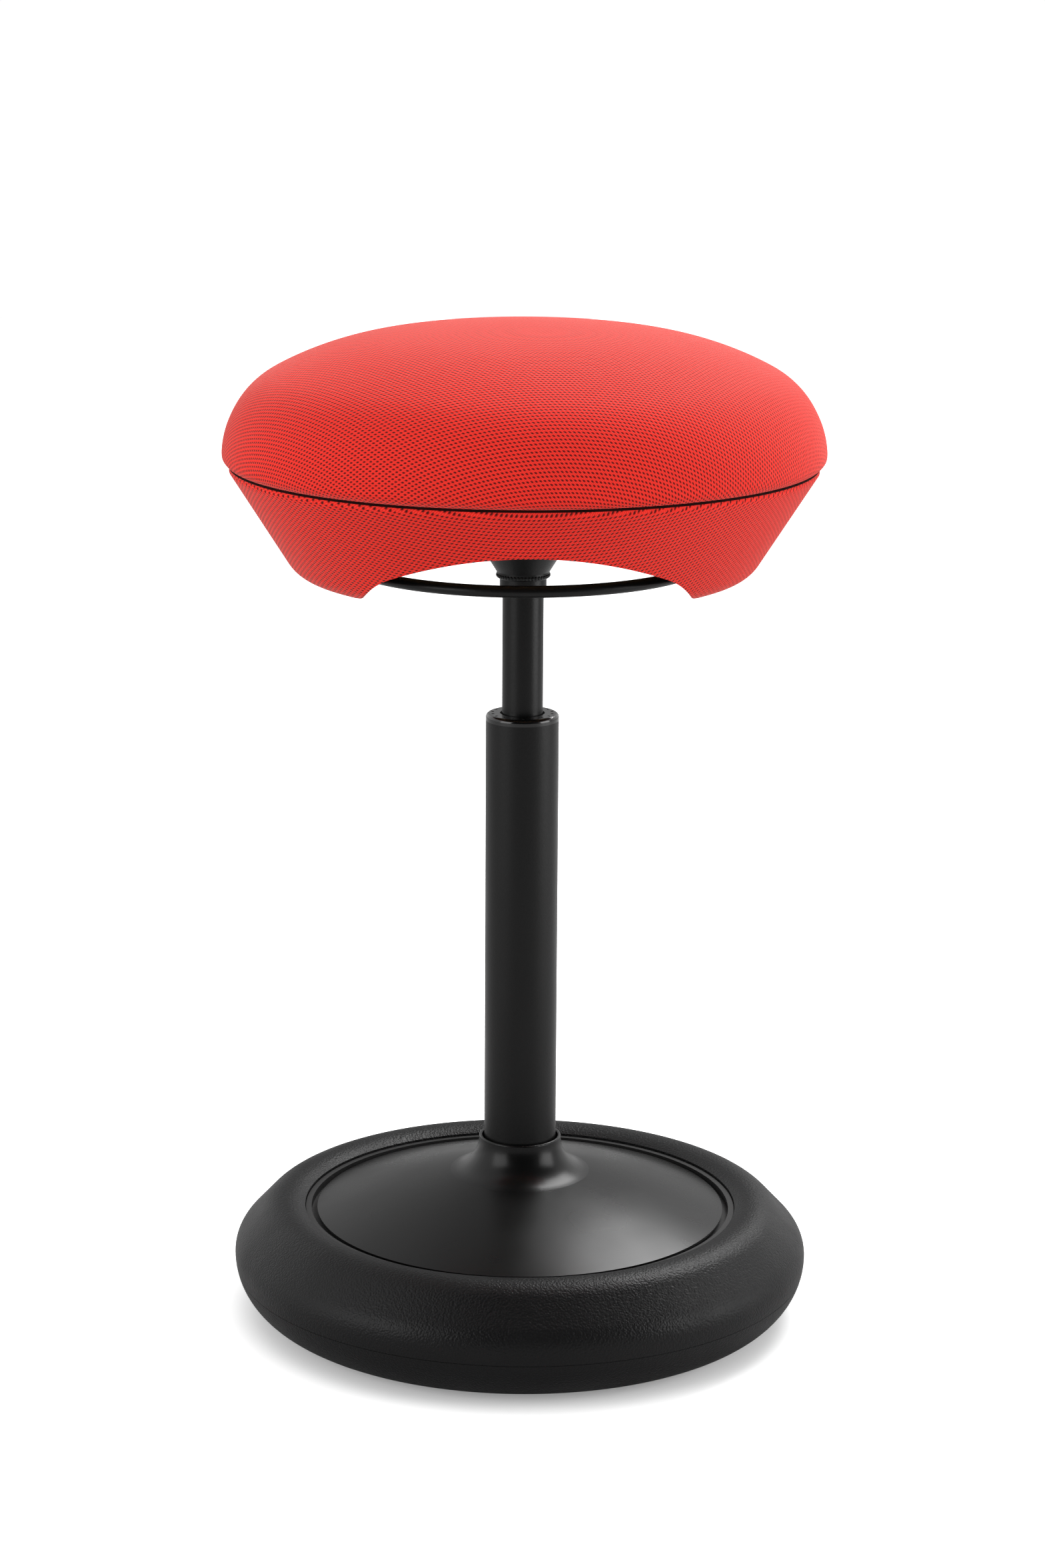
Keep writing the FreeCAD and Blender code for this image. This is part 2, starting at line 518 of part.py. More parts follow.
def build_tray():
    """The moulded tray that hangs in the foot ring and carries everything above."""
    tray = turned("base_tray", [
        ("0", "tray_floor"),
        ("tray_radius - tray_corner", "tray_floor"),
        ("tray_radius", "tray_floor + tray_corner", "tray_corner", "left"),
        ("tray_radius", "tray_flange"),
        ("tray_rim_radius", "tray_flange"),
        ("tray_rim_radius", "tray_rim"),
        ("tray_rim_radius - tray_rim_width", "tray_rim"),
        ("tray_rim_radius - tray_rim_width", "tray_flange_top"),
        ("tray_inside + tray_rib_width", "tray_flange_top"),
        ("tray_inside + tray_rib_width", "rib_top"),
        ("tray_inside", "rib_top"),
        ("tray_inside", "tray_floor + tray_corner"),
        ("tray_inside - tray_corner + tray_wall", "tray_top", "tray_corner - tray_wall", "right"),
        ("0", "tray_top"),
    ])
    sketch = new_sketch(tray, "XZ_Plane")
    draw(sketch, [
        ("tray_inside - brace_length", "tray_floor + tray_wall / 2"),
        ("tray_radius - tray_wall / 2", "tray_floor + tray_wall / 2"),
        ("tray_radius - tray_wall / 2", "tray_top + brace_height"),
        ("tray_inside", "tray_top + brace_height"),
        ("tray_inside - brace_length", "tray_top + tray_wall"),
    ])
    spread(tray, pad(tray, sketch, "brace_wall", symmetric=True), "brace_count")
    sketch = new_sketch(tray, "XZ_Plane")
    sketch.AttachmentOffset = FreeCAD.Placement(
        FreeCAD.Vector(), FreeCAD.Rotation(FreeCAD.Vector(0, 1, 0), value("180 / brace_count")))
    draw(sketch, [
        ("rib_inner", "tray_floor - rib_depth"),
        ("ballast_outer - tray_wall", "tray_floor - rib_depth"),
        ("ballast_outer", "tray_floor + tray_wall / 2"),
        ("rib_inner - tray_wall", "tray_floor + tray_wall / 2"),
    ])
    spread(tray, pad(tray, sketch, "brace_wall", symmetric=True), "brace_count")
    sketch = new_sketch(tray, "XZ_Plane")
    draw(sketch, [
        ("tray_inside - tray_wall", "snap_end - soft_gap"),
        ("tray_radius + tray_wall", "snap_end - soft_gap"),
        ("tray_radius + tray_wall", "snap_end + snap_hook_height + soft_gap"),
        ("tray_inside - tray_wall", "snap_end + snap_hook_height + soft_gap"),
    ])
    window = cut(tray, sketch, "snap_width + 2 * soft_gap", symmetric=True)
    spread(tray, window, "snap_count")
    drill(tray, "base_bolt_circle", "bolt_hole", "tray_top", "tray_wall", "4")
    drill(tray, "ballast_screw_circle", "small_screw + slip_fit", "tray_top", "tray_wall", "4")


def build_ballast():
    """The cast ring that keeps the stool upright, with its screws from below."""
    ballast = turned("ballast_ring", [
        ("ballast_inner", "tray_top"),
        ("ballast_outer", "tray_top"),
        ("ballast_outer", "tray_top + ballast_height - ballast_chamfer"),
        ("ballast_outer - ballast_chamfer", "tray_top + ballast_height"),
        ("ballast_inner + ballast_chamfer", "tray_top + ballast_height"),
        ("ballast_inner", "tray_top + ballast_height - ballast_chamfer"),
    ])
    drill(ballast, "ballast_screw_circle", "small_screw + slip_fit",
          "tray_top + ballast_height", "ballast_height", "4")
    headed("ballast_screws", "ballast_screw_circle", "4", "small_screw", "small_screw * 1.8",
           "small_screw", "tray_floor", "tray_wall + ballast_height * 0.6")


def build_socket():
    """The welded column socket on its plate, bolted through the tray."""
    plate = turned("socket_plate", [
        ("column_end_radius + socket_plate_gap", "tray_top"),
        ("socket_plate_radius", "tray_top"),
        ("socket_plate_radius", "plate_top"),
        ("column_end_radius + socket_plate_gap", "plate_top"),
    ])
    drill(plate, "base_bolt_circle", "bolt_hole", "plate_top", "socket_plate_wall", "4")
    turned("column_socket", [
        ("socket_foot_radius", "plate_top"),
        ("socket_outer + socket_weld", "plate_top"),
        ("socket_outer", "plate_top + socket_weld"),
        ("socket_outer", "socket_top - socket_wall / 3"),
        ("socket_outer - socket_wall / 3", "socket_top"),
        ("socket_top_radius", "socket_top"),
    ])
    gussets = new_body("socket_gussets")
    sketch = new_sketch(gussets, "XZ_Plane")
    draw(sketch, [
        ("socket_outer + socket_weld + slip_fit", "plate_top"),
        ("socket_plate_radius - gusset_inset", "plate_top"),
        ("socket_plate_radius - gusset_inset", "plate_top + gusset_wall"),
        ("socket_outer + gusset_wall", "plate_top + gusset_height"),
        ("socket_outer + slip_fit", "plate_top + gusset_height"),
        ("socket_outer + slip_fit", "plate_top + socket_weld"),
    ])
    spread(gussets, pad(gussets, sketch, "gusset_wall", symmetric=True), "4")
    gussets.Placement = FreeCAD.Placement(
        FreeCAD.Vector(), FreeCAD.Rotation(FreeCAD.Vector(0, 0, 1), 45))
    headed("base_bolts", "base_bolt_circle", "4", "bolt_radius", "bolt_head",
           "bolt_head_height", "tray_floor",
           "tray_wall + socket_plate_wall + nut_height + bolt_radius / 2")
    nuts = new_body("base_nuts")
    sketch = new_sketch(nuts, "XY_Plane", ("base_bolt_circle", "0", "plate_top"))
    corner = "nut_across / sqrt(3)"
    draw(sketch, [
        (corner, "0"), (f"{corner} / 2", "nut_across / 2"), (f"-{corner} / 2", "nut_across / 2"),
        (f"-{corner}", "0"), (f"-{corner} / 2", "-nut_across / 2"),
        (f"{corner} / 2", "-nut_across / 2"),
    ])
    draw_circle(sketch, "0", "0", "bolt_radius + slip_fit")
    spread(nuts, pad(nuts, sketch, "nut_height"), "4")


def mid_wall(radius):
    """Height of the middle of the cover's wall at a radius on the dome."""
    return (f"dome_centre_height + sqrt((dome_radius - cover_wall / 2)^2"
            f" - ({radius} - dome_centre_radius)^2)")


def build_cover():
    """The domed cover that flares up to a collar and snaps into windows in the tray's wall."""
    cover = turned("base_cover", [
        ("cover_radius - edge_inward", "cover_edge - edge_down",
         "dome_radius - cover_wall", "right"),
        ("cover_radius", "cover_edge"),
        ("flare_radius", "flare_height", "dome_radius", "left"),
        ("cover_collar", "cover_collar_height", "cover_flare", "right"),
        ("cover_collar - cover_wall / 2", "cover_collar_height + cover_wall / 2",
         "cover_wall / 2", "left"),
        ("cover_collar - cover_wall", "cover_collar_height", "cover_wall / 2", "left"),
        ("flare_radius - cover_wall * slope_sine", "flare_height - cover_wall * slope_cosine",
         "cover_flare + cover_wall", "left"),
    ])
    sketch = new_sketch(cover, "XZ_Plane")
    draw(sketch, [
        ("snap_radius - snap_wall", "snap_end"),
        ("snap_radius", "snap_end"),
        ("snap_radius + snap_hook", "snap_end + snap_hook_height - snap_hook / 2"),
        ("snap_radius + snap_hook", "snap_end + snap_hook_height"),
        ("snap_radius", "snap_end + snap_hook_height"),
        ("snap_radius", mid_wall("snap_radius")),
        ("snap_radius - snap_wall", mid_wall("snap_radius - snap_wall")),
    ])
    spread(cover, pad(cover, sketch, "snap_width", symmetric=True), "snap_count")


def build_column():
    """The standing tube of the gas spring, its guide bush and the thrust bearing at its foot."""
    turned("outer_tube", [
        ("column_end_bore", "column_foot"),
        ("column_end_radius", "column_foot"),
        ("column_radius", "taper_top"),
        ("column_radius", "column_top"),
        ("column_bore", "column_top"),
        ("column_bore", "taper_top"),
    ])
    turned("guide_bush", [
        ("bush_bore", "bush_bottom"),
        ("column_bore - slip_fit", "bush_bottom"),
        ("column_bore - slip_fit", "column_top"),
        ("column_radius", "column_top"),
        ("column_radius", "cap_top - cap_shoulder"),
        ("column_radius - cap_shoulder", "cap_top", "cap_shoulder", "left"),
        ("cap_mouth", "cap_top"),
        ("cap_mouth", "cap_top - cap_mouth_depth"),
        ("bush_bore", "cap_top - cap_mouth_depth"),
    ])
    turned("tube_end_plate", [
        ("journal_radius + slip_fit", "end_plate_bottom"),
        ("end_plate_radius", "end_plate_bottom"),
        ("end_plate_radius + taper * end_plate_wall", "end_plate_top"),
        ("journal_radius + slip_fit", "end_plate_top"),
    ])
    turned("bearing_lower_race", [
        ("journal_radius + race_gap", "end_plate_top"),
        ("race_outer", "end_plate_top"),
        ("race_outer", "race_seat"),
        ("journal_radius + race_gap", "race_seat"),
    ])


def build_cage():
    """The balls of the thrust bearing and the cage that spaces them."""
    turned("bearing_balls", [
        ("0", "-ball_radius"),
        ("ball_radius", "0", "ball_radius", "left"),
        ("0", "ball_radius", "ball_radius", "left"),
    ], shift=("ball_circle", "ball_height", "0"), count="ball_count")
    cage = turned("ball_cage", [
        ("ball_circle - 2 * ball_radius", "ball_height - cage_wall / 2"),
        ("ball_circle + 2 * ball_radius", "ball_height - cage_wall / 2"),
        ("ball_circle + 2 * ball_radius", "ball_height + cage_wall / 2"),
        ("ball_circle - 2 * ball_radius", "ball_height + cage_wall / 2"),
    ])
    drill(cage, "ball_circle", "ball_radius + slip_fit",
          "ball_height + cage_wall / 2", "cage_wall", "ball_count")


def build_rod():
    """The piston rod, which stands on the bearing, and what turns with it."""
    turned("bearing_upper_race", [
        ("journal_radius + slip_fit", "race_top_seat"),
        ("race_outer", "race_top_seat"),
        ("race_outer", "race_top"),
        ("journal_radius + slip_fit", "race_top"),
    ])
    turned("bump_stop", [
        ("rod_radius + soft_gap", "race_top"),
        ("bump_radius", "race_top"),
        ("bump_radius", "race_top + bump_length / 3"),
        ("bump_radius - bump_waist", "race_top + bump_length / 2"),
        ("bump_radius", "race_top + bump_length * 2 / 3"),
        ("bump_radius", "race_top + bump_length"),
        ("rod_radius + soft_gap", "race_top + bump_length"),
    ])
    turned("piston_rod", [
        ("0", "rod_foot"),
        ("journal_radius", "rod_foot"),
        ("journal_radius", "clip_bottom - slip_fit"),
        ("journal_radius - clip_depth", "clip_bottom - slip_fit"),
        ("journal_radius - clip_depth", "clip_top"),
        ("journal_radius", "clip_top"),
        ("journal_radius", "race_top"),
        ("rod_radius", "race_top"),
        ("rod_radius", "piston_foot"),
        ("piston_neck", "piston_foot"),
        ("piston_neck", "rod_top"),
        ("0", "rod_top"),
    ])
    turned("rod_clip", [
        ("journal_radius - clip_depth + slip_fit", "clip_bottom"),
        ("journal_radius + 2 * clip_depth", "clip_bottom"),
        ("journal_radius + 2 * clip_depth", "clip_top - slip_fit"),
        ("journal_radius - clip_depth + slip_fit", "clip_top - slip_fit"),
    ], angle=300)
    turned("clip_washer", [
        ("journal_radius + slip_fit", "clip_top + slip_fit"),
        ("2 * journal_radius", "clip_top + slip_fit"),
        ("2 * journal_radius", "clip_top + slip_fit + washer_wall"),
        ("journal_radius + slip_fit", "clip_top + slip_fit + washer_wall"),
    ])
    turned("piston", [
        ("piston_neck + slip_fit", "piston_foot"),
        ("piston_radius", "piston_foot"),
        ("piston_radius", "seal_foot"),
        ("piston_radius - seal_depth", "seal_foot"),
        ("piston_radius - seal_depth", "seal_foot + seal_height"),
        ("piston_radius", "seal_foot + seal_height"),
        ("piston_radius", "piston_foot + piston_height"),
        ("piston_neck + slip_fit", "piston_foot + piston_height"),
    ])
    turned("piston_seal", [
        ("piston_radius - seal_depth + slip_fit", "seal_foot + slip_fit"),
        ("cylinder_radius - slip_fit", "seal_foot + slip_fit"),
        ("cylinder_radius - slip_fit", "seal_foot + seal_height - slip_fit"),
        ("piston_radius - seal_depth + slip_fit", "seal_foot + seal_height - slip_fit"),
    ])


def build_lift():
    """The pressure tube that slides and turns in the bush, with what is sealed inside it."""
    turned("pressure_tube", [
        ("lift_bore - 2 * lift_wall", "lift_foot"),
        ("lift_radius", "lift_foot"),
        ("lift_radius", "lift_taper_foot"),
        ("lift_top_radius", "lift_top"),
        ("lift_top_radius - 2 * lift_wall", "lift_top"),
        ("lift_top_radius - 2 * lift_wall", "lift_top - lift_wall"),
        ("lift_top_radius - lift_wall", "lift_top - lift_wall"),
        ("lift_bore", "lift_taper_foot"),
        ("lift_bore", "lift_foot + lift_wall"),
        ("lift_bore - 2 * lift_wall", "lift_foot + lift_wall"),
    ])
    turned("inner_cylinder", [
        ("cylinder_radius", "cylinder_foot"),
        ("cylinder_radius + cylinder_wall", "cylinder_foot"),
        ("cylinder_radius + cylinder_wall", "valve_seat - slip_fit"),
        ("cylinder_radius", "valve_seat - slip_fit"),
    ])
    turned("rod_guide", [
        ("rod_radius + slip_fit", "guide_foot"),
        ("lift_bore - slip_fit", "guide_foot"),
        ("lift_bore - slip_fit", "guide_top"),
        ("rod_radius + slip_fit", "guide_top"),
    ])
    turned("rod_seal", [
        ("rod_radius + slip_fit", "rod_seal_foot"),
        ("lift_bore - slip_fit", "rod_seal_foot"),
        ("lift_bore - slip_fit", "rod_seal_top"),
        ("rod_radius + slip_fit", "rod_seal_top"),
    ])
    turned("valve_body", [
        ("0", "valve_seat - valve_spigot"),
        ("cylinder_radius - slip_fit", "valve_seat - valve_spigot"),
        ("cylinder_radius - slip_fit", "valve_seat"),
        ("valve_land", "valve_seat"),
        ("valve_land", "valve_shoulder"),
        ("lift_top_radius - 2 * lift_wall - slip_fit", "valve_shoulder"),
        ("lift_top_radius - 2 * lift_wall - slip_fit", "lift_top"),
        ("pin_radius + slip_fit", "lift_top"),
        ("pin_radius + slip_fit", "valve_seat + valve_spigot"),
        ("0", "valve_seat + valve_spigot"),
    ])
    turned("release_pin", [
        ("0", "valve_seat + 2 * valve_spigot"),
        ("pin_radius", "valve_seat + 2 * valve_spigot"),
        ("pin_radius", "button_foot"),
        ("button_radius", "button_foot"),
        ("button_radius", "button_foot + button_height - button_radius / 4"),
        ("button_radius * 0.75", "button_foot + button_height"),
        ("0", "button_foot + button_height"),
    ])


def build_hub():
    """The seat's socket, the funnel round it, and the plate that they are welded to."""
    mouth = "lift_radius + slip_fit"
    turned("seat_socket", [
        (mouth, "hub_foot"),
        ("hub_outer", "hub_foot"),
        ("hub_outer", "lift_top"),
        ("lift_top_radius + slip_fit", "lift_top"),
        (mouth, "lift_taper_foot"),
    ])
    funnel = turned("hub_funnel", [
        ("hub_inner", "funnel_foot"),
        ("hub_inner + funnel_roll / 3", "funnel_foot"),
        ("funnel_throat", "funnel_foot + funnel_roll", "funnel_roll", "left"),
        ("funnel_throat", "funnel_throat_height"),
        ("funnel_rim", "plate_bottom"),
        ("funnel_rim - funnel_skin", "plate_bottom"),
        ("hub_inner", "funnel_throat_height + (hub_inner - funnel_throat + funnel_skin) / funnel_slope"),
    ])
    sketch = new_sketch(funnel, "YZ_Plane", ("0", "0", "0"))
    draw(sketch, [
        ("-slot_half_width", "plate_bottom - slot_depth"),
        ("slot_half_width", "plate_bottom - slot_depth"),
        ("slot_half_width", "plate_bottom"),
        ("-slot_half_width", "plate_bottom"),
    ])
    cut(funnel, sketch, "3 * funnel_rim", symmetric=True)
    plate = turned("mounting_plate", [
        ("0", "plate_bottom"),
        ("plate_radius - plate_wall", "plate_bottom"),
        ("plate_radius - plate_wall", "plate_face - plate_rim"),
        ("plate_radius", "plate_face - plate_rim"),
        ("plate_radius", "plate_face"),
        ("0", "plate_face"),
    ])
    drill(plate, "seat_bolt_circle", "bolt_hole", "plate_face", "plate_wall", "4")


def build_board():
    """The plywood seat board with its sunk nuts, and the bolts that clamp the plate to it."""
    board = turned("seat_board", [
        ("0", "plate_face"),
        ("board_radius", "plate_face"),
        ("board_radius", "board_top"),
        ("0", "board_top"),
    ])
    drill(board, "seat_bolt_circle", "nut_barrel + slip_fit", "board_top", "board_wall", "4")
    drill(board, "seat_bolt_circle", "nut_flange + slip_fit", "board_top",
          "nut_flange_wall + slip_fit", "4")
    sketch = new_sketch(board, "XY_Plane", ("0", "0", "plate_face + shell_screw_length"))
    draw_circle(sketch, "shell_screw_circle", "0", "shell_screw + slip_fit")
    spread(board, cut(board, sketch, "shell_screw_length"), "shell_screw_count")
    turned("sunk_nuts", [
        ("bolt_radius + slip_fit", "board_top - board_wall * 0.8"),
        ("nut_barrel", "board_top - board_wall * 0.8"),
        ("nut_barrel", "board_top - nut_flange_wall"),
        ("nut_flange", "board_top - nut_flange_wall"),
        ("nut_flange", "board_top"),
        ("bolt_radius + slip_fit", "board_top"),
    ], shift=("seat_bolt_circle", "0", "0"), count="4")
    headed("seat_bolts", "seat_bolt_circle", "4", "bolt_radius", "bolt_head",
           "bolt_head_height", "plate_bottom", "plate_wall + board_wall - bolt_short")


def skirt_layer(depth, height):
    """A point of the skirt's cone, some depth under its outer face, at a height."""
    return (f"skirt_radius - ({depth}) * skirt_hypot - skirt_slope * (skirt_top - ({height}))",
            height)


def corner_point(depth):
    """Where the cone runs into the bottom corner, some depth under its outer face."""
    reach = f"(skirt_corner - ({depth}))"
    return (f"corner_radius + {reach} / skirt_hypot",
            f"corner_height - {reach} * skirt_slope / skirt_hypot")


def cut_arches(body):
    """Cuts the front and back hand arches with one outline."""
    sketch = new_sketch(body, "XZ_Plane")
    tangent, height = "(end_centre + end_reach * arch_share)", "end_height + end_rise * arch_share"
    shoulder = "arch_centre + arch_radius * arch_cosine"
    draw(sketch, [
        ("-arch_foot", "skirt_bottom", "arch_corner", "right"),
        ("-arch_foot", "skirt_bottom - arch_corner"),
        ("arch_foot", "skirt_bottom - arch_corner"),
        ("arch_foot", "skirt_bottom"),
        (tangent, height, "arch_corner", "right"),
        ("arch_blend", shoulder, "arch_end", "left"),
        ("-arch_blend", shoulder, "arch_radius", "left"),
        ("-" + tangent, height, "arch_end", "left"),
    ])
    cut(body, sketch, "3 * skirt_radius", symmetric=True)


def build_skirt():
    """The moulded skirt shell under the board, and the knitted cover drawn over it."""
    outer, inner = "knit_wall + slip_fit", "knit_wall + slip_fit + shell_wall"
    shell_top = "skirt_top + skirt_lip - knit_wall - soft_gap"
    shell = turned("skirt_shell", [
        ("skirt_return", f"skirt_bottom + {outer}"),
        ("corner_radius", f"skirt_bottom + {outer}"),
        corner_point(outer) + (f"skirt_corner - ({outer})", "left"),
        skirt_layer(outer, shell_top),
        skirt_layer(inner, shell_top),
        skirt_layer(inner, "plate_face"),
        ("shell_flange", "plate_face"),
        ("shell_flange", "plate_face - shell_wall"),
        skirt_layer(inner, "plate_face - shell_wall"),
        corner_point(inner),
        ("corner_radius", f"skirt_bottom + {inner}", f"skirt_corner - ({inner})", "right"),
        ("skirt_return", f"skirt_bottom + {inner}"),
    ])
    drill(shell, "shell_screw_circle", "shell_screw + 2 * slip_fit", "plate_face", "shell_wall",
          "shell_screw_count")
    cut_arches(shell)
    headed("skirt_screws", "shell_screw_circle", "shell_screw_count", "shell_screw",
           "2 * shell_screw", "1.2 * shell_screw", "plate_face - shell_wall",
           "shell_wall + shell_screw_length * 0.9")
    lip = "knit_wall * 0.8"
    cover = turned("skirt_cover", [
        ("skirt_return", "skirt_bottom"),
        ("corner_radius", "skirt_bottom"),
        corner_point("0") + ("skirt_corner", "left"),
        ("skirt_radius", "skirt_top"),
        ("skirt_radius", f"skirt_top + skirt_lip - {lip}"),
        (f"skirt_radius - {lip}", "skirt_top + skirt_lip", lip, "left"),
        ("skirt_radius - 3 * knit_wall", "skirt_top + skirt_lip"),
        ("skirt_radius - 3 * knit_wall", "skirt_top + skirt_lip - knit_wall"),
        skirt_layer("knit_wall", "skirt_top + skirt_lip - knit_wall"),
        corner_point("knit_wall"),
        ("corner_radius", "skirt_bottom + knit_wall", "skirt_corner - knit_wall", "right"),
        ("skirt_return", "skirt_bottom + knit_wall"),
    ])
    cut_arches(cover)


def build_lever():
    """The ring lever with its two arms, and the rocker that they turn."""
    lever = new_body("ring_lever")
    sketch = new_sketch(lever, "XZ_Plane")
    draw_circle(sketch, "ring_radius", "ring_height", "ring_rod")
    hoop = lever.newObject("PartDesign::Revolution", "ring_lever_hoop")
    hoop.Profile = sketch
    hoop.ReferenceAxis = (sketch, ["V_Axis"])
    hoop.Angle = 360
    rise, run = "(rocker_height - ring_height)", "(ring_radius - arm_knee)"
    slant = f"sqrt({rise}^2 + {run}^2)"
    tangent = f"arm_bend * {rise} / ({run} + {slant})"
    spine = new_sketch(lever, "XZ_Plane")
    draw(spine, [
        ("rocker_half_width", "rocker_height"),
        (f"arm_knee - {tangent}", "rocker_height"),
        (f"arm_knee + {tangent} * {run} / {slant}", f"rocker_height - {tangent} * {rise} / {slant}",
         "arm_bend", "right"),
        ("ring_radius", "ring_height"),
    ], closed=False)
    section = new_sketch(lever, "YZ_Plane", ("0", "0", "rocker_half_width"))
    draw_circle(section, "0", "rocker_height", "ring_rod")
    arm = lever.newObject("PartDesign::AdditivePipe", "ring_lever_arm")
    arm.Profile = section
    arm.Spine = spine
    lever.Tip = arm
    doc.recompute()
    spread(lever, arm, "2")

    rocker = new_body("lever_rocker")
    sketch = new_sketch(rocker, "YZ_Plane")
    draw(sketch, [
        ("-rocker_reach", "rocker_height - rocker_wall / 2"),
        ("rocker_tail", "rocker_height - rocker_wall / 2"),
        ("rocker_tail", "rocker_height + rocker_wall / 2"),
        ("-rocker_reach", "rocker_height + rocker_wall / 2"),
    ])
    pad(rocker, sketch, "2 * rocker_half_width", symmetric=True)
    sketch = new_sketch(rocker, "YZ_Plane")
    draw_circle(sketch, "-rocker_reach", "rocker_height", "rocker_barrel")
    pad(rocker, sketch, "2 * rocker_half_width", symmetric=True)
    sketch = new_sketch(rocker, "YZ_Plane")
    draw_circle(sketch, "-rocker_reach", "rocker_height", "pivot_radius + slip_fit")
    cut(rocker, sketch, "3 * rocker_half_width", symmetric=True)


def build_bracket():
    """The bracket under the plate that holds the rocker's pivot pin."""
    inside = "(rocker_half_width + ear_gap)"
    bracket = new_body("rocker_bracket")
    sketch = new_sketch(bracket, "XZ_Plane", ("0", "0", "rocker_reach"))
    draw(sketch, [
        (f"-{inside} - ear_wall", "plate_bottom - ear_drop"),
        (f"-{inside}", "plate_bottom - ear_drop"),
        (f"-{inside}", "plate_bottom - bracket_web"),
        (inside, "plate_bottom - bracket_web"),
        (inside, "plate_bottom - ear_drop"),
        (f"{inside} + ear_wall", "plate_bottom - ear_drop"),
        (f"{inside} + ear_wall", "plate_bottom"),
        (f"-{inside} - ear_wall", "plate_bottom"),
    ])
    pad(bracket, sketch, "2 * ear_half_length", symmetric=True)
    sketch = new_sketch(bracket, "YZ_Plane")
    draw_circle(sketch, "-rocker_reach", "rocker_height", "pivot_radius + slip_fit / 2")
    cut(bracket, sketch, "3 * rocker_half_width", symmetric=True)
    reach = f"({inside} + ear_wall)"
    groove = f"{reach} + 2 * pivot_play"
    groove_end = f"{groove} + pivot_clip_wall + 2 * pivot_play"
    turned("pivot_pin", [
        (f"-{reach} - pivot_head", "0"),
        (f"-{reach} - pivot_head", "pivot_radius * 1.5"),
        (f"-{reach}", "pivot_radius * 1.5"),
        (f"-{reach}", "pivot_radius"),
        (groove, "pivot_radius"),
        (groove, "pivot_radius * 0.75"),
        (groove_end, "pivot_radius * 0.75"),
        (groove_end, "pivot_radius"),
        (f"{groove_end} + pivot_tail", "pivot_radius"),
        (f"{groove_end} + pivot_tail", "0"),
    ], shift=("0", "rocker_height", "rocker_reach"), axis="H_Axis")
    turned("pivot_clip", [
        (f"{groove} + pivot_play", "pivot_radius * 0.75 + slip_fit"),
        (f"{groove_end} - pivot_play", "pivot_radius * 0.75 + slip_fit"),
        (f"{groove_end} - pivot_play", "pivot_radius * 1.6"),
        (f"{groove} + pivot_play", "pivot_radius * 1.6"),
    ], shift=("0", "rocker_height", "rocker_reach"), axis="H_Axis", angle=300)


def crown(inset, start):
    """The cushion's outline from hem to axis, some depth under its skin, on concentric arcs."""
    hem, edge = f"(hem_radius - ({inset}))", f"cushion_radius - ({inset})"
    across = f"sqrt({hem}^2 - (cushion_waist - ({start}))^2)"
    top = f"(cushion_top - ({inset}))"
    low = f"(cushion_slope - ({inset})) / (cushion_slope - cushion_shoulder)"
    high = f"{top} / (cushion_top - cushion_slope)"
    return [
        (f"cushion_radius - hem_radius + {across}", start),
        (edge, "cushion_waist", hem, "left"),
        (f"slope_centre + (shoulder_centre - slope_centre) * {low}",
         f"slope_level + (cushion_waist - slope_level) * {low}",
         f"cushion_shoulder - ({inset})", "left"),
        (f"slope_centre * {high}", f"top_centre + (slope_level - top_centre) * {high}",
         f"cushion_slope - ({inset})", "left"),
        ("0", f"top_centre + {top}", top, "left"),
    ]


def build_cushion():
    """The crowned foam pad and the knitted cover that is turned in under its edge."""
    inner = crown("seat_knit", "cushion_seam + seat_knit")
    turned("seat_foam", inner + [
        ("0", "board_top + soft_gap"),
        ("board_radius + soft_gap", "board_top + soft_gap"),
        ("board_radius + soft_gap", "cushion_seam + seat_knit"),
    ])
    back = [inner[-1][:2]]
    for place, following in zip(inner[-2::-1], inner[:0:-1]):
        back.append(place[:2] + (following[2], "right"))
    turned("seat_cover", crown("0", "cushion_seam") + back + [
        ("board_radius + soft_gap", "cushion_seam + seat_knit"),
        ("board_radius + soft_gap", "cushion_seam"),
    ])


build_foot()
build_tray()
build_ballast()
build_socket()
build_cover()
build_column()
build_cage()
build_rod()
build_lift()
build_hub()
build_board()
build_skirt()
build_lever()
build_bracket()
build_cushion()
doc.recompute()

for item in doc.Objects:
    if {"Invalid", "Error"} & set(item.State):
        raise RuntimeError(f"{item.Label}: {item.State}")
for piece in pieces:
    if piece.Shape.isNull() or not piece.Shape.isValid() or not piece.Shape.Solids:
        raise RuntimeError(piece.Label + ": no valid solid")
for piece in pieces:
    piece.Shape.exportStep(os.path.join("parts", piece.Label + ".step"))
print(len(pieces), "sub-parts")
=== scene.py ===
"""Dresses the wobble stool: knitted seat, foam foot ring, coated steel and black mouldings.

Metres, +Z up, the hand arch towards -Y. Laid out as an add-on and run as a script.
"""
import json
import math

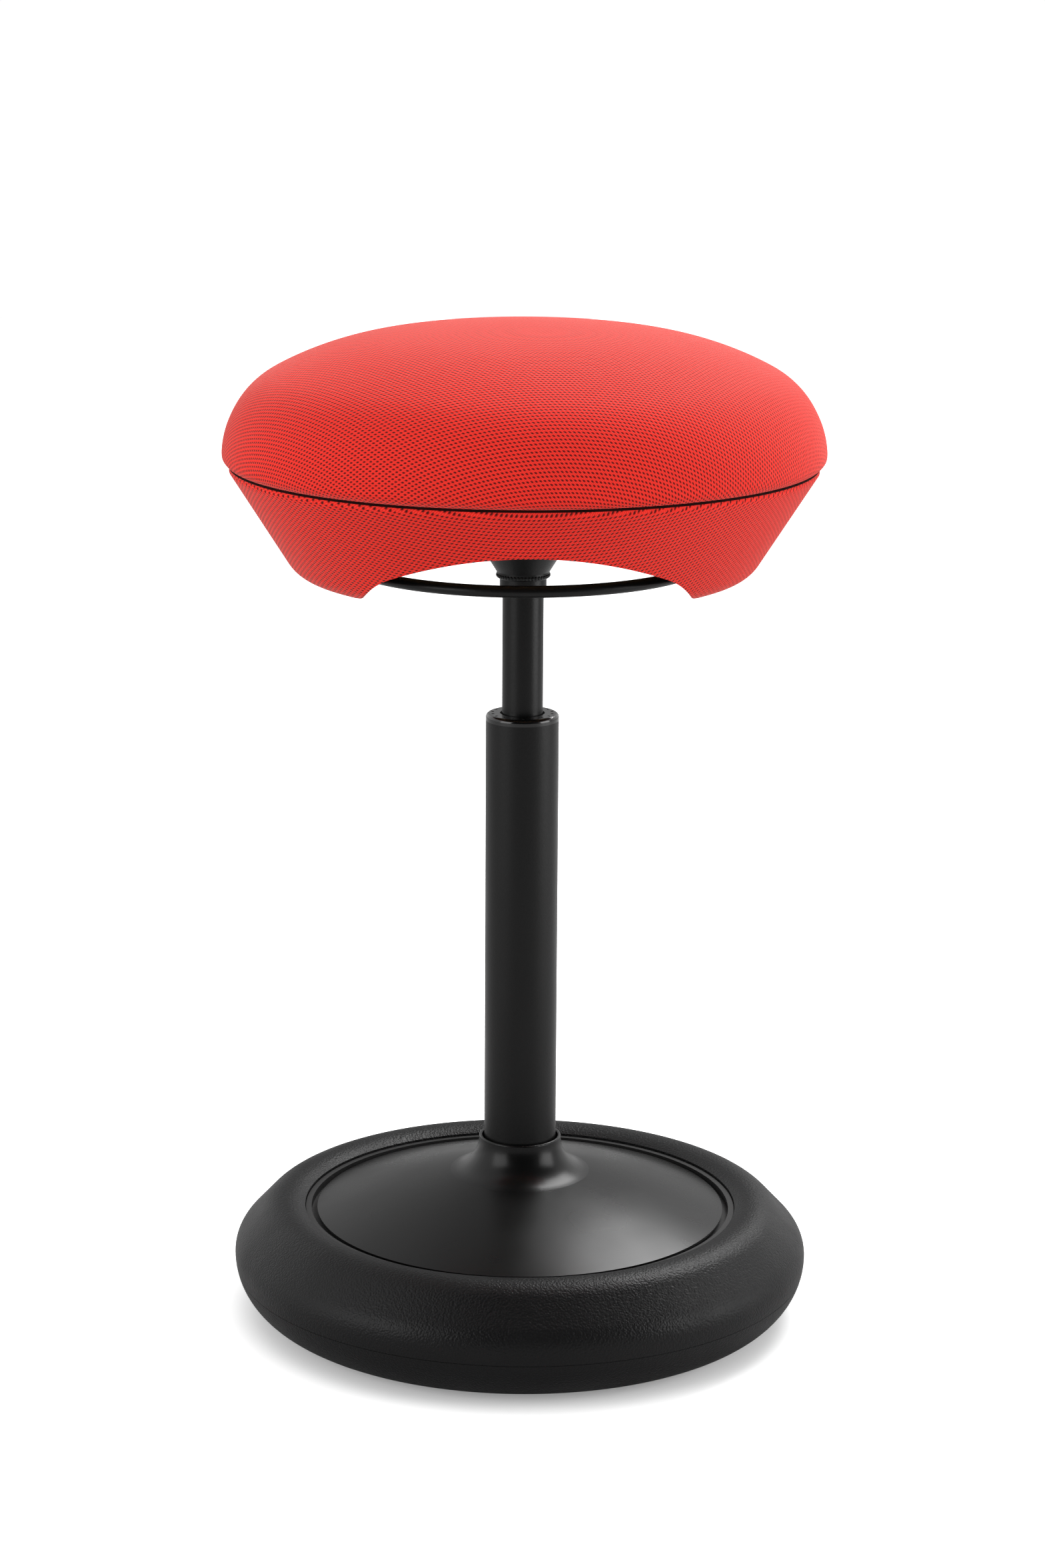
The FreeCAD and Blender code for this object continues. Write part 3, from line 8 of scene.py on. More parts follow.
import bmesh
import bpy
from bpy.props import FloatProperty, FloatVectorProperty, IntProperty, PointerProperty
from bpy.types import Operator, Panel, PropertyGroup
from mathutils import Matrix, Vector
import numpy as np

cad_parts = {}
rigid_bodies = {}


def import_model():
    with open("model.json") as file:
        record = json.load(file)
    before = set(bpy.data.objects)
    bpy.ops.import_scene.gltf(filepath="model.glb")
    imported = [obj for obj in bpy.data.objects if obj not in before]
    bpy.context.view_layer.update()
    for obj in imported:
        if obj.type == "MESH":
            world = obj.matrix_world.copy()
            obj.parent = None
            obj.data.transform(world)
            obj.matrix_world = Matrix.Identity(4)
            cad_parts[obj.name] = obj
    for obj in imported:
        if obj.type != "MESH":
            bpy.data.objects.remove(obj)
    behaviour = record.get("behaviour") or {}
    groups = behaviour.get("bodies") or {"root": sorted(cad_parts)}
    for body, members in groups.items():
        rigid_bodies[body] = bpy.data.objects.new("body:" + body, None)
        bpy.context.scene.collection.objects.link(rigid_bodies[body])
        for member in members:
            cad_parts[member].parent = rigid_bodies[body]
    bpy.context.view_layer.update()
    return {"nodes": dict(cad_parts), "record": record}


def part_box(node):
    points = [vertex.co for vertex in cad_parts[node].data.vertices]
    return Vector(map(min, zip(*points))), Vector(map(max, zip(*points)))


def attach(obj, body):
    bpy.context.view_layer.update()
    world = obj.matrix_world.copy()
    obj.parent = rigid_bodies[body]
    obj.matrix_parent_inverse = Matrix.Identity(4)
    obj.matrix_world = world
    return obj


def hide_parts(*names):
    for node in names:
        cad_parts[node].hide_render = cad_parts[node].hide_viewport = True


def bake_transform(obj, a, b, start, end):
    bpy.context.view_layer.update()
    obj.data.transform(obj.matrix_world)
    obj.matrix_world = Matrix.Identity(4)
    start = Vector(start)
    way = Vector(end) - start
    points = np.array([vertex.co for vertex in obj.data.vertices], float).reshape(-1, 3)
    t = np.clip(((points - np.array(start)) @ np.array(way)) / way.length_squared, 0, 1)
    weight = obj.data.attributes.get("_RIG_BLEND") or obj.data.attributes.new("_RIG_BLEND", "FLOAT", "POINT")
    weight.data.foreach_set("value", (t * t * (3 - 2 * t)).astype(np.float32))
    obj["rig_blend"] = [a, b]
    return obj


bl_info = {
    "name": "Wobble stool",
    "version": (1, 0, 0),
    "blender": (4, 5, 0),
    "location": "View3D > Sidebar > Stool",
    "description": "Builds the soft pieces, finishes and stage of a wobble stool on its frame",
    "category": "Object",
}

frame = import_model()
MM = 0.001


def paint(text):
    """An sRGB hex value as linear red, green, blue and alpha."""
    channels = [int(text[i:i + 2], 16) / 255 for i in (1, 3, 5)]
    return [c / 12.92 if c <= 0.04045 else ((c + 0.055) / 1.055) ** 2.4 for c in channels] + [1.0]


def length(meaning, default):
    return FloatProperty(name=meaning, description=meaning, default=default, min=0.0,
                         unit="LENGTH", precision=5)


def angle(meaning, degrees):
    return FloatProperty(name=meaning, description=meaning, default=math.radians(degrees),
                         subtype="ANGLE")


def colour(meaning, text):
    return FloatVectorProperty(name=meaning, description=meaning, subtype="COLOR", size=4,
                               min=0.0, max=1.0, default=paint(text))


class KnitSettings(PropertyGroup):
    """The red spacer knit of the cushion and the skirt."""
    yarn: colour("Yarn", "#EA2318")
    # the lighter colour below is a painted highlight on the raised loops
    loop: colour("Raised loops", "#FA4034")
    # the dark colour below is painted shade down in the knit's recesses
    pocket_shade: colour("Down in the pockets", "#4A0604")
    along: length("Pocket spacing along a row", 3.1 * MM)
    rows: length("Spacing of the rows", 2.7 * MM)
    hole: length("Pocket radius", 0.82 * MM)
    slant: angle("Lean of the pockets", -38)
    turn: angle("Turn of the rows on the cushion", -5)


class CushionSettings(PropertyGroup):
    """The crowned pad, on arcs that run into each other."""
    radius: length("Widest radius", 203.4 * MM)
    waist: length("Height of the widest circle", 609.2 * MM)
    shoulder: length("Radius of the shoulder", 62.2 * MM)
    shoulder_turn: angle("Turn of the shoulder's arc", 62.09)
    slope: length("Radius between shoulder and crown", 231.7 * MM)
    crown: length("Radius of the crown", 780.0 * MM)
    hem: length("Radius of the turned-in hem", 8.9 * MM)
    seam: length("Height of the seam", 600.6 * MM)
    board: length("Radius of the board under it", 186.6 * MM)
    rest: length("Height of the board's top", 603.3 * MM)
    slack: length("How much smaller the pad starts", 1.6 * MM)
    swell: length("How far the cover may swell", 2.2 * MM)
    pressure: FloatProperty(name="Pressure", description="Pressure of the foam on the cover",
                            default=4.0)
    frames: IntProperty(name="Frames", description="Frames of the cloth pass", default=20)
    held: length("How far under the widest circle the cover is held", 3 * MM)
    fade: length("Height over which the cover starts to give", 30 * MM)
    still: length("Radius of the middle that keeps its round crown", 40 * MM)


class SkirtSettings(PropertyGroup):
    """The knitted cover of the skirt and the arches cut in it."""
    radius: length("Radius at the top of the cone", 196.5 * MM)
    top: length("Height of the top of the cone", 597.3 * MM)
    lip: length("Height of the lip's top", 599.9 * MM)
    bottom: length("Height of the lowest edge", 526.5 * MM)
    slope: FloatProperty(name="Slope", description="Radius gained per height", default=0.6325)
    corner: length("Radius of the bottom corner", 21.8 * MM)
    inner: length("Inner edge of the turned-in bottom", 133.0 * MM)
    wall: length("Thickness of the knit", 1.6 * MM)
    fold: length("Rounding of the lip's fold", 2.3 * MM)
    # a dark cord under the cushion's hem: a painted shadow line in the groove
    shadow_cord: length("Radius of the piping under the cushion", 1.1 * MM)
    edge: length("Rounding of the cut edges", 0.7 * MM)
    apex: length("Height of the arches", 566.7 * MM)
    sweep: length("Radius of the arches", 205.0 * MM)
    reach: length("Half width where the end curves start", 88.0 * MM)
    end: length("Radius of the end curves", 40.0 * MM)
    toe: length("Radius of the corners at the edge", 5.0 * MM)


class FootSettings(PropertyGroup):
    """The foam ring that the stool leans on, in two mouldings."""
    radius: length("Widest radius", 200.4 * MM)
    waist: length("Height of the widest circle", 42.8 * MM)
    bore: length("Radius of the bore", 141.5 * MM)
    relief: length("Room for the leaning tray in the lower bore", 0.6 * MM)
    parting: length("Height of the joint line", 33.0 * MM)
    gap: length("Width of the joint line", 0.3 * MM)
    crest: length("Height of the crest", 80.1 * MM)
    crest_radius: length("Radius of the crest", 164.0 * MM)
    shoulder: length("Radius of the shoulder arcs", 22.7 * MM)
    lip: length("Radius of the inner lip", 150.9 * MM)
    ledge: length("Height of the ledge under the tray", 66.0 * MM)
    corner: length("Rounding of the sole's inner corner", 6.5 * MM)
    skin: colour("Foam skin", "#0B0B0C")
    grain: length("Grain of the skin", 1.3 * MM)


class HardwareSettings(PropertyGroup):
    """Moulded and welded marks, and the colours of the black parts."""
    steel: colour("Powder coat", "#0D0D0D")
    cover: colour("Base cover", "#080808")
    bush: colour("Guide bush", "#080808")
    dashes: IntProperty(name="Dashes", description="Moulded dashes round the bush", default=18)
    dash_ring: length("Radius of the ring of dashes", 20.6 * MM)
    dash_length: length("Length of a dash", 1.9 * MM)
    dash_width: length("Width of a dash", 0.75 * MM)
    dash_height: length("Height of a dash", 0.5 * MM)
    ripples: IntProperty(name="Weld ripples", description="Ripples round the weld", default=46)
    weld_ring: length("Radius of the ring of ripples", 17.7 * MM)
    bead: length("Radius of a ripple", 1.2 * MM)


class StudioSettings(PropertyGroup):
    """The camera in front of the stool, and the light."""
    distance: length("Camera distance", 2.5337)
    height: length("Camera height", 0.9914)
    aside: length("Camera to the left", 0.0633)
    pitch: angle("Camera looks down by", 13.604)
    lens: FloatProperty(name="Lens", description="Focal length in millimetres", default=87.29)
    shift: FloatProperty(name="Shift", description="Sideways shift of the picture",
                         default=0.0592)
    sky: FloatProperty(name="Sky", description="Strength of the light from all round",
                       default=0.84)
    key: FloatProperty(name="Key", description="Watts of the lamp behind and above on the right",
                       default=34.0)
    fill: FloatProperty(name="Fill", description="Watts of the lamp in front on the left",
                        default=16.0)
    side: FloatProperty(name="Side", description="Watts of the lamp on the right", default=20.0)


SETTINGS = {"stool_knit": KnitSettings, "stool_cushion": CushionSettings,
            "stool_skirt": SkirtSettings, "stool_foot": FootSettings,
            "stool_hardware": HardwareSettings, "stool_studio": StudioSettings}


# Materials

def add_node(tree, kind, inputs=(), **settings):
    """Adds a node, sets its properties, and fills its sockets with numbers or other outputs."""
    node = tree.nodes.new(kind)
    for name, setting in settings.items():
        setattr(node, name, setting)
    for socket, source in dict(inputs).items():
        if isinstance(source, bpy.types.NodeSocket):
            tree.links.new(source, node.inputs[socket])
        else:
            node.inputs[socket].default_value = source
    return node


def start_finish(name, tint, roughness, **sockets):
    """A material with its shader's plain sockets set, as (material, tree, shader)."""
    material = bpy.data.materials.new(name)
    material.use_nodes = True
    tree = material.node_tree
    shader = tree.nodes["Principled BSDF"]
    shader.inputs["Base Color"].default_value = tint
    shader.inputs["Roughness"].default_value = roughness
    for socket, number in sockets.items():
        shader.inputs[socket.replace("_", " ")].default_value = number
    return material, tree, shader


def add_relief(tree, shader, height, depth):
    """Raises the surface by a height pattern times a depth in metres."""
    bump = add_node(tree, "ShaderNodeBump", {"Height": height, "Distance": depth})
    tree.links.new(bump.outputs["Normal"], shader.inputs["Normal"])


def vary(tree, shader, patch, spread, tint_spread=0.0):
    """Lets roughness, and a colour's value, drift slowly over patches of a size in metres."""
    place = add_node(tree, "ShaderNodeTexCoord").outputs["Object"]
    drift = add_node(tree, "ShaderNodeTexNoise", {"Vector": place, "Scale": 1 / patch,
                                                  "Detail": 3.0}).outputs["Fac"]
    base = shader.inputs["Roughness"].default_value
    level = add_node(tree, "ShaderNodeMapRange", {
        "Value": drift, "From Min": 0.3, "From Max": 0.7,
        "To Min": base - spread, "To Max": base + spread})
    tree.links.new(level.outputs["Result"], shader.inputs["Roughness"])
    if tint_spread:
        tint = list(shader.inputs["Base Color"].default_value)
        value = add_node(tree, "ShaderNodeMapRange", {
            "Value": drift, "From Min": 0.3, "From Max": 0.7,
            "To Min": 1 - tint_spread, "To Max": 1 + tint_spread})
        shade = add_node(tree, "ShaderNodeHueSaturation",
                         {"Color": tint, "Value": value.outputs["Result"]})
        tree.links.new(shade.outputs["Color"], shader.inputs["Base Color"])


def make_spacer_knit():
    """Polyester spacer knit: staggered pockets between slanted loops, hazy at glancing angles; the pockets
    carry painted shade and the loops a painted highlight.

    The real pockets are 2.4 mm apart; they are drawn at 3.1 mm so that they show in the render.
    """
    knit = bpy.context.scene.stool_knit
    material, tree, shader = start_finish(
        "red_spacer_knit", knit.yarn, 0.8, Sheen_Weight=0.4, Sheen_Roughness=0.3,
        Sheen_Tint=paint("#FFC9C0"), Specular_IOR_Level=0.2)
    cloth = add_node(tree, "ShaderNodeUVMap", uv_map="knit").outputs["UV"]
    cells = add_node(tree, "ShaderNodeMapping", {
        "Vector": cloth, "Scale": (1 / knit.along, 1 / knit.rows, 1.0)}).outputs["Vector"]
    axes = add_node(tree, "ShaderNodeSeparateXYZ", {"Vector": cells})
    row = add_node(tree, "ShaderNodeMath", {0: axes.outputs["Y"]}, operation="FLOOR")
    column = add_node(tree, "ShaderNodeMath", {0: row.outputs[0], 1: 0.5, 2: axes.outputs["X"]},
                      operation="MULTIPLY_ADD")
    across = add_node(tree, "ShaderNodeMath", {0: column.outputs[0]}, operation="FRACT")
    up = add_node(tree, "ShaderNodeMath", {0: axes.outputs["Y"]}, operation="FRACT")
    cell = add_node(tree, "ShaderNodeCombineXYZ", {"X": across.outputs[0], "Y": up.outputs[0]})
    sized = add_node(tree, "ShaderNodeMapping", {
        "Vector": cell.outputs["Vector"], "Scale": (0.8 * knit.along, knit.rows, 1.0)})
    # the pockets are pulled into slits that lean down to the right
    centred = add_node(tree, "ShaderNodeMapping", {
        "Vector": sized.outputs["Vector"], "Scale": (1.35, 0.72, 1.0),
        "Location": (0.4 * knit.along, 0.5 * knit.rows, 0.0),
        "Rotation": (0.0, 0.0, knit.slant)}, vector_type="TEXTURE")
    reach = add_node(tree, "ShaderNodeVectorMath", {0: centred.outputs["Vector"]},
                     operation="LENGTH")
    rim = add_node(tree, "ShaderNodeMapRange", {
        "Value": reach.outputs["Value"], "From Min": 0.35 * knit.hole,
        "From Max": 1.35 * knit.hole}, interpolation_type="SMOOTHSTEP")
    # loops lean across the web between the pockets; their lighter tint is a painted highlight, their lift a
    # real bump
    lean = add_node(tree, "ShaderNodeVectorMath", {
        0: cells, 1: (4 * math.pi, 4 * math.pi, 0.0)}, operation="DOT_PRODUCT")
    wave = add_node(tree, "ShaderNodeMath", {0: lean.outputs["Value"]}, operation="SINE")
    loop = add_node(tree, "ShaderNodeMapRange", {
        "Value": wave.outputs[0], "From Min": 0.0, "From Max": 1.0})
    web = add_node(tree, "ShaderNodeMix", {0: loop.outputs["Result"], 6: knit.yarn,
                                           7: knit.loop}, data_type="RGBA")
    # each hole's centre is darkened: painted shade in the knit's recesses, on top of their real bump
    tint = add_node(tree, "ShaderNodeMix", {0: rim.outputs["Result"], 6: knit.pocket_shade,
                                            7: web.outputs[2]}, data_type="RGBA")
    place = add_node(tree, "ShaderNodeTexCoord").outputs["Object"]
    drift = add_node(tree, "ShaderNodeTexNoise", {"Vector": place, "Scale": 9.0})
    worn = add_node(tree, "ShaderNodeMapRange", {"Value": drift.outputs["Fac"], "To Min": 0.92,
                                                 "To Max": 1.08})
    shade = add_node(tree, "ShaderNodeHueSaturation", {"Color": tint.outputs[2],
                                                       "Value": worn.outputs["Result"]})
    tree.links.new(shade.outputs["Color"], shader.inputs["Base Color"])
    raised = add_node(tree, "ShaderNodeMath", {0: loop.outputs["Result"], 1: 0.25, 2: 0.75},
                      operation="MULTIPLY_ADD")
    height = add_node(tree, "ShaderNodeMath", {0: raised.outputs[0], 1: rim.outputs["Result"]},
                      operation="MULTIPLY")
    add_relief(tree, shader, height.outputs[0], 0.4 * MM)
    return material


def make_skinned_foam():
    """Integral-skin polyurethane foam: a soft leather-like grain with a broad dull highlight."""
    foot = bpy.context.scene.stool_foot
    material, tree, shader = start_finish("skinned_foam", foot.skin, 0.46, Specular_IOR_Level=0.23)
    vary(tree, shader, 60 * MM, 0.06)
    place = add_node(tree, "ShaderNodeTexCoord").outputs["Object"]
    warp = add_node(tree, "ShaderNodeTexNoise", {"Vector": place, "Scale": 1 / (3 * MM)})
    shifted = add_node(tree, "ShaderNodeVectorMath", {
        0: warp.outputs["Color"], 1: (foot.grain, foot.grain, foot.grain), 2: place},
        operation="MULTIPLY_ADD")
    grain = add_node(tree, "ShaderNodeTexVoronoi", {
        "Vector": shifted.outputs["Vector"], "Scale": 1 / foot.grain}, feature="SMOOTH_F1")
    add_relief(tree, shader, grain.outputs["Distance"], -0.36 * MM)
    return material


def make_moulding(name, tint, roughness, grain, depth, **sockets):
    """Injection-moulded plastic: an even colour with the fine texture of its mould."""
    material, tree, shader = start_finish(name, tint, roughness, **sockets)
    vary(tree, shader, 50 * MM, 0.04)
    place = add_node(tree, "ShaderNodeTexCoord").outputs["Object"]
    relief = add_node(tree, "ShaderNodeTexNoise", {"Vector": place, "Scale": 1 / grain,
                                                   "Detail": 2.0})
    add_relief(tree, shader, relief.outputs["Fac"], depth)
    return material


def make_powder_coat():
    """Black powder coat on steel: a low orange peel of 1 to 2 mm and soft wide highlights."""
    tint = bpy.context.scene.stool_hardware.steel
    material, tree, shader = start_finish("powder_coated_steel", tint, 0.34,
                                          Specular_IOR_Level=0.26)
    vary(tree, shader, 70 * MM, 0.05)
    place = add_node(tree, "ShaderNodeTexCoord").outputs["Object"]
    peel = add_node(tree, "ShaderNodeTexNoise", {"Vector": place, "Scale": 1 / (1.6 * MM),
                                                 "Detail": 2.0})
    add_relief(tree, shader, peel.outputs["Fac"], 0.06 * MM)
    return material


def make_metal(name, tint, roughness, anisotropic, line):
    """Bare or plated metal: fine lines left by turning, grinding or plating, round the column."""
    material, tree, shader = start_finish(name, tint, roughness, Metallic=1.0,
                                          Anisotropic=anisotropic)
    vary(tree, shader, 8 * MM, 0.07, 0.08)
    place = add_node(tree, "ShaderNodeTexCoord").outputs["Object"]
    lines = add_node(tree, "ShaderNodeMapping", {"Vector": place,
                                                 "Scale": (0.1 / line, 0.1 / line, 1 / line)})
    tool = add_node(tree, "ShaderNodeTexNoise", {"Vector": lines.outputs["Vector"], "Scale": 1.0})
    add_relief(tree, shader, tool.outputs["Fac"], 0.01 * MM)
    return material


def make_casting():
    """Painted grey iron: a sandy skin of about 1 mm under dull dark paint."""
    material, tree, shader = start_finish("painted_iron", paint("#3A3B3D"), 0.7)
    vary(tree, shader, 30 * MM, 0.1, 0.12)
    place = add_node(tree, "ShaderNodeTexCoord").outputs["Object"]
    sand = add_node(tree, "ShaderNodeTexNoise", {"Vector": place, "Scale": 1 / (1.1 * MM),
                                                 "Detail": 4.0})
    add_relief(tree, shader, sand.outputs["Fac"], 0.3 * MM)
    return material


def make_plywood():
    """Beech plywood: seven veneers seen at the edge, fine flecks 1 mm by 8 mm on the face."""
    material, tree, shader = start_finish("beech_plywood", paint("#D2A877"), 0.55)
    place = add_node(tree, "ShaderNodeTexCoord").outputs["Object"]
    axes = add_node(tree, "ShaderNodeSeparateXYZ", {"Vector": place})
    layer = add_node(tree, "ShaderNodeMath", {0: axes.outputs["Z"], 1: 1 / (1.71 * MM)},
                     operation="MULTIPLY")
    veneer = add_node(tree, "ShaderNodeMath", {0: layer.outputs[0], 1: 2.0}, operation="PINGPONG")
    grain = add_node(tree, "ShaderNodeMapping", {
        "Vector": place, "Scale": (1 / (8 * MM), 1 / MM, 1 / MM)})
    fleck = add_node(tree, "ShaderNodeTexNoise", {"Vector": grain.outputs["Vector"],
                                                  "Scale": 1.0, "Detail": 4.0})
    mixed = add_node(tree, "ShaderNodeMath", {0: veneer.outputs[0], 1: 0.3,
                                              2: fleck.outputs["Fac"]}, operation="MULTIPLY_ADD")
    tint = add_node(tree, "ShaderNodeMix", {0: mixed.outputs[0], 6: paint("#E0BC8D"),
                                            7: paint("#A87C4E")}, data_type="RGBA")
    tree.links.new(tint.outputs[2], shader.inputs["Base Color"])
    add_relief(tree, shader, fleck.outputs["Fac"], 0.05 * MM)
    return material


def make_cut_foam():
    """Moulded polyurethane foam: pale, with open cells of about 0.5 mm."""
    material, tree, shader = start_finish("polyurethane_foam", paint("#EDE5C8"), 0.95)
    vary(tree, shader, 40 * MM, 0.03, 0.04)
    place = add_node(tree, "ShaderNodeTexCoord").outputs["Object"]
    pores = add_node(tree, "ShaderNodeTexVoronoi", {"Vector": place, "Scale": 1 / (0.5 * MM)})
    add_relief(tree, shader, pores.outputs["Distance"], 0.2 * MM)
    return material


class STOOL_OT_finishes(Operator):
    """Gives every part of the frame the finish of its material"""
    bl_idname = "stool.finishes"
    bl_label = "Finishes"

    def execute(self, context):
        hardware = context.scene.stool_hardware
        finishes = {
            "foam_skin": make_skinned_foam(),
            # polypropylene: fine spark texture, seen only under the stool and in the joint
            "tray_black": make_moulding("textured_polypropylene", paint("#151515"), 0.55,
                                        0.8 * MM, 0.08 * MM),
            # polypropylene from a smooth mould: satin, with a bright line along its edge
            "cover_satin": make_moulding("satin_polypropylene", hardware.cover, 0.29,
                                         0.6 * MM, 0.006 * MM, Specular_IOR_Level=0.28),
            "cast": make_casting(),
            "steel_black": make_powder_coat(),
            # acetal: hard and glossy, with small sharp reflections
            "bush_black": make_moulding("glossy_acetal", hardware.bush, 0.16, 2.0 * MM,
                                        0.01 * MM, Coat_Weight=0.3, Coat_Roughness=0.08),
            "zinc": make_metal("zinc_plated_steel", paint("#C9CBCC"), 0.36, 0.0, 0.5 * MM),
            "bearing_steel": make_metal("ground_steel", paint("#B9BABD"), 0.22, 0.4, 0.2 * MM),
            "brass": make_metal("turned_brass", paint("#D9B560"), 0.28, 0.4, 0.3 * MM),
            # nylon: milky and slightly waxy
            "guide_plastic": make_moulding("natural_nylon", paint("#E4DFD0"), 0.45, 0.7 * MM,
                                           0.02 * MM, Subsurface_Weight=0.1,
                                           Subsurface_Scale=1.5 * MM),
            # nitrile rubber: dull, faintly powdery
            "seal_rubber": make_moulding("nitrile_rubber", paint("#1A1A1A"), 0.75, 0.4 * MM,
                                         0.04 * MM),
            "plywood": make_plywood(),
            "shell_black": make_moulding("glass_filled_nylon", paint("#1C1C1D"), 0.5, 0.9 * MM,
                                         0.05 * MM),
            "red_knit": make_spacer_knit(),
            "seat_foam": make_cut_foam(),
        }
        for row in frame["record"]["subparts"]:
            node = frame["nodes"][row["node"]]
            node.data.materials.clear()
            node.data.materials.append(finishes[row["material_slot"]])
            for face in node.data.polygons:
                face.material_index = 0
        return {"FINISHED"}


# Meshes

def extrude_run(mesh, start, points):
    """Draws straight runs from a vertex through points (x, z); returns the last vertex."""
    for x, z in points:
        grown = bmesh.ops.extrude_vert_indiv(mesh, verts=[start])["verts"][0]
        grown.co = (x, 0, z)
        start = grown
    return start


def sweep_arc(mesh, start, centre, degrees, steps):
    """Draws an arc about (x, z) in the upright plane; a positive turn goes from +X to +Z."""
    grown = bmesh.ops.spin(mesh, geom=[start], cent=(centre[0], 0, centre[1]), axis=(0, -1, 0),
                           angle=math.radians(degrees), steps=steps)["geom_last"]
    return next(item for item in grown if isinstance(item, bmesh.types.BMVert))


def measure_outline(mesh, start):
    """Stores every vertex's distance along the outline from its start, (x, z), in "run"."""
    bmesh.ops.remove_doubles(mesh, verts=mesh.verts[:], dist=0.01 * MM)
    layer = mesh.verts.layers.float.new("run")
    start = Vector((start[0], 0, start[1]))
    place = min(mesh.verts, key=lambda point: (point.co - start).length)
    previous, total = None, 0.0
    while place is not None:
        place[layer] = total
        ahead = [edge for edge in place.link_edges if edge.other_vert(place) is not previous]
        following = ahead[0].other_vert(place) if ahead else None
        if following is not None:
            total += (following.co - place.co).length
        previous, place = place, following
    return layer


def turn_outline(mesh, segments):
    """Turns the outline once round the column's axis and closes seam and poles."""
    bmesh.ops.spin(mesh, geom=mesh.verts[:] + mesh.edges[:], cent=(0, 0, 0), axis=(0, 0, 1),
                   angle=2 * math.pi, steps=segments, use_merge=True)
    bmesh.ops.remove_doubles(mesh, verts=mesh.verts[:], dist=0.02 * MM)
    bmesh.ops.recalc_face_normals(mesh, faces=mesh.faces[:])


def finish_piece(mesh, name, material):
    """Turns the bmesh into a smooth-shaded object in the scene, its place in its mesh."""
    data = bpy.data.meshes.new(name)
    mesh.to_mesh(data)
    mesh.free()
    data.materials.append(material)
    piece = bpy.data.objects.new(name, data)
    bpy.context.scene.collection.objects.link(piece)
    data.shade_smooth()
    return piece


def bearing(corner):
    """Angle of a point round the column from the front, positive to the right."""
    return math.atan2(corner.x, -corner.y)


def lay_cloth(mesh, lay):
    """Writes the UV map "knit", in metres of cloth, one face at a time so no seam is crossed."""
    layer, run = mesh.loops.layers.uv.new("knit"), mesh.verts.layers.float["run"]
    for face in mesh.faces:
        middle = bearing(face.calc_center_median())
        for loop in face.loops:
            around = bearing(loop.vert.co) if loop.vert.co.xy.length > 0.1 * MM else middle
            around += 2 * math.pi * round((middle - around) / (2 * math.pi))
            loop[layer].uv = lay(loop.vert[run], around)


def apply_modifiers(piece):
    """Replaces the piece's mesh by what its modifiers make of it."""
    shown = piece.evaluated_get(bpy.context.evaluated_depsgraph_get())
    piece.data = bpy.data.meshes.new_from_object(shown)
    piece.modifiers.clear()


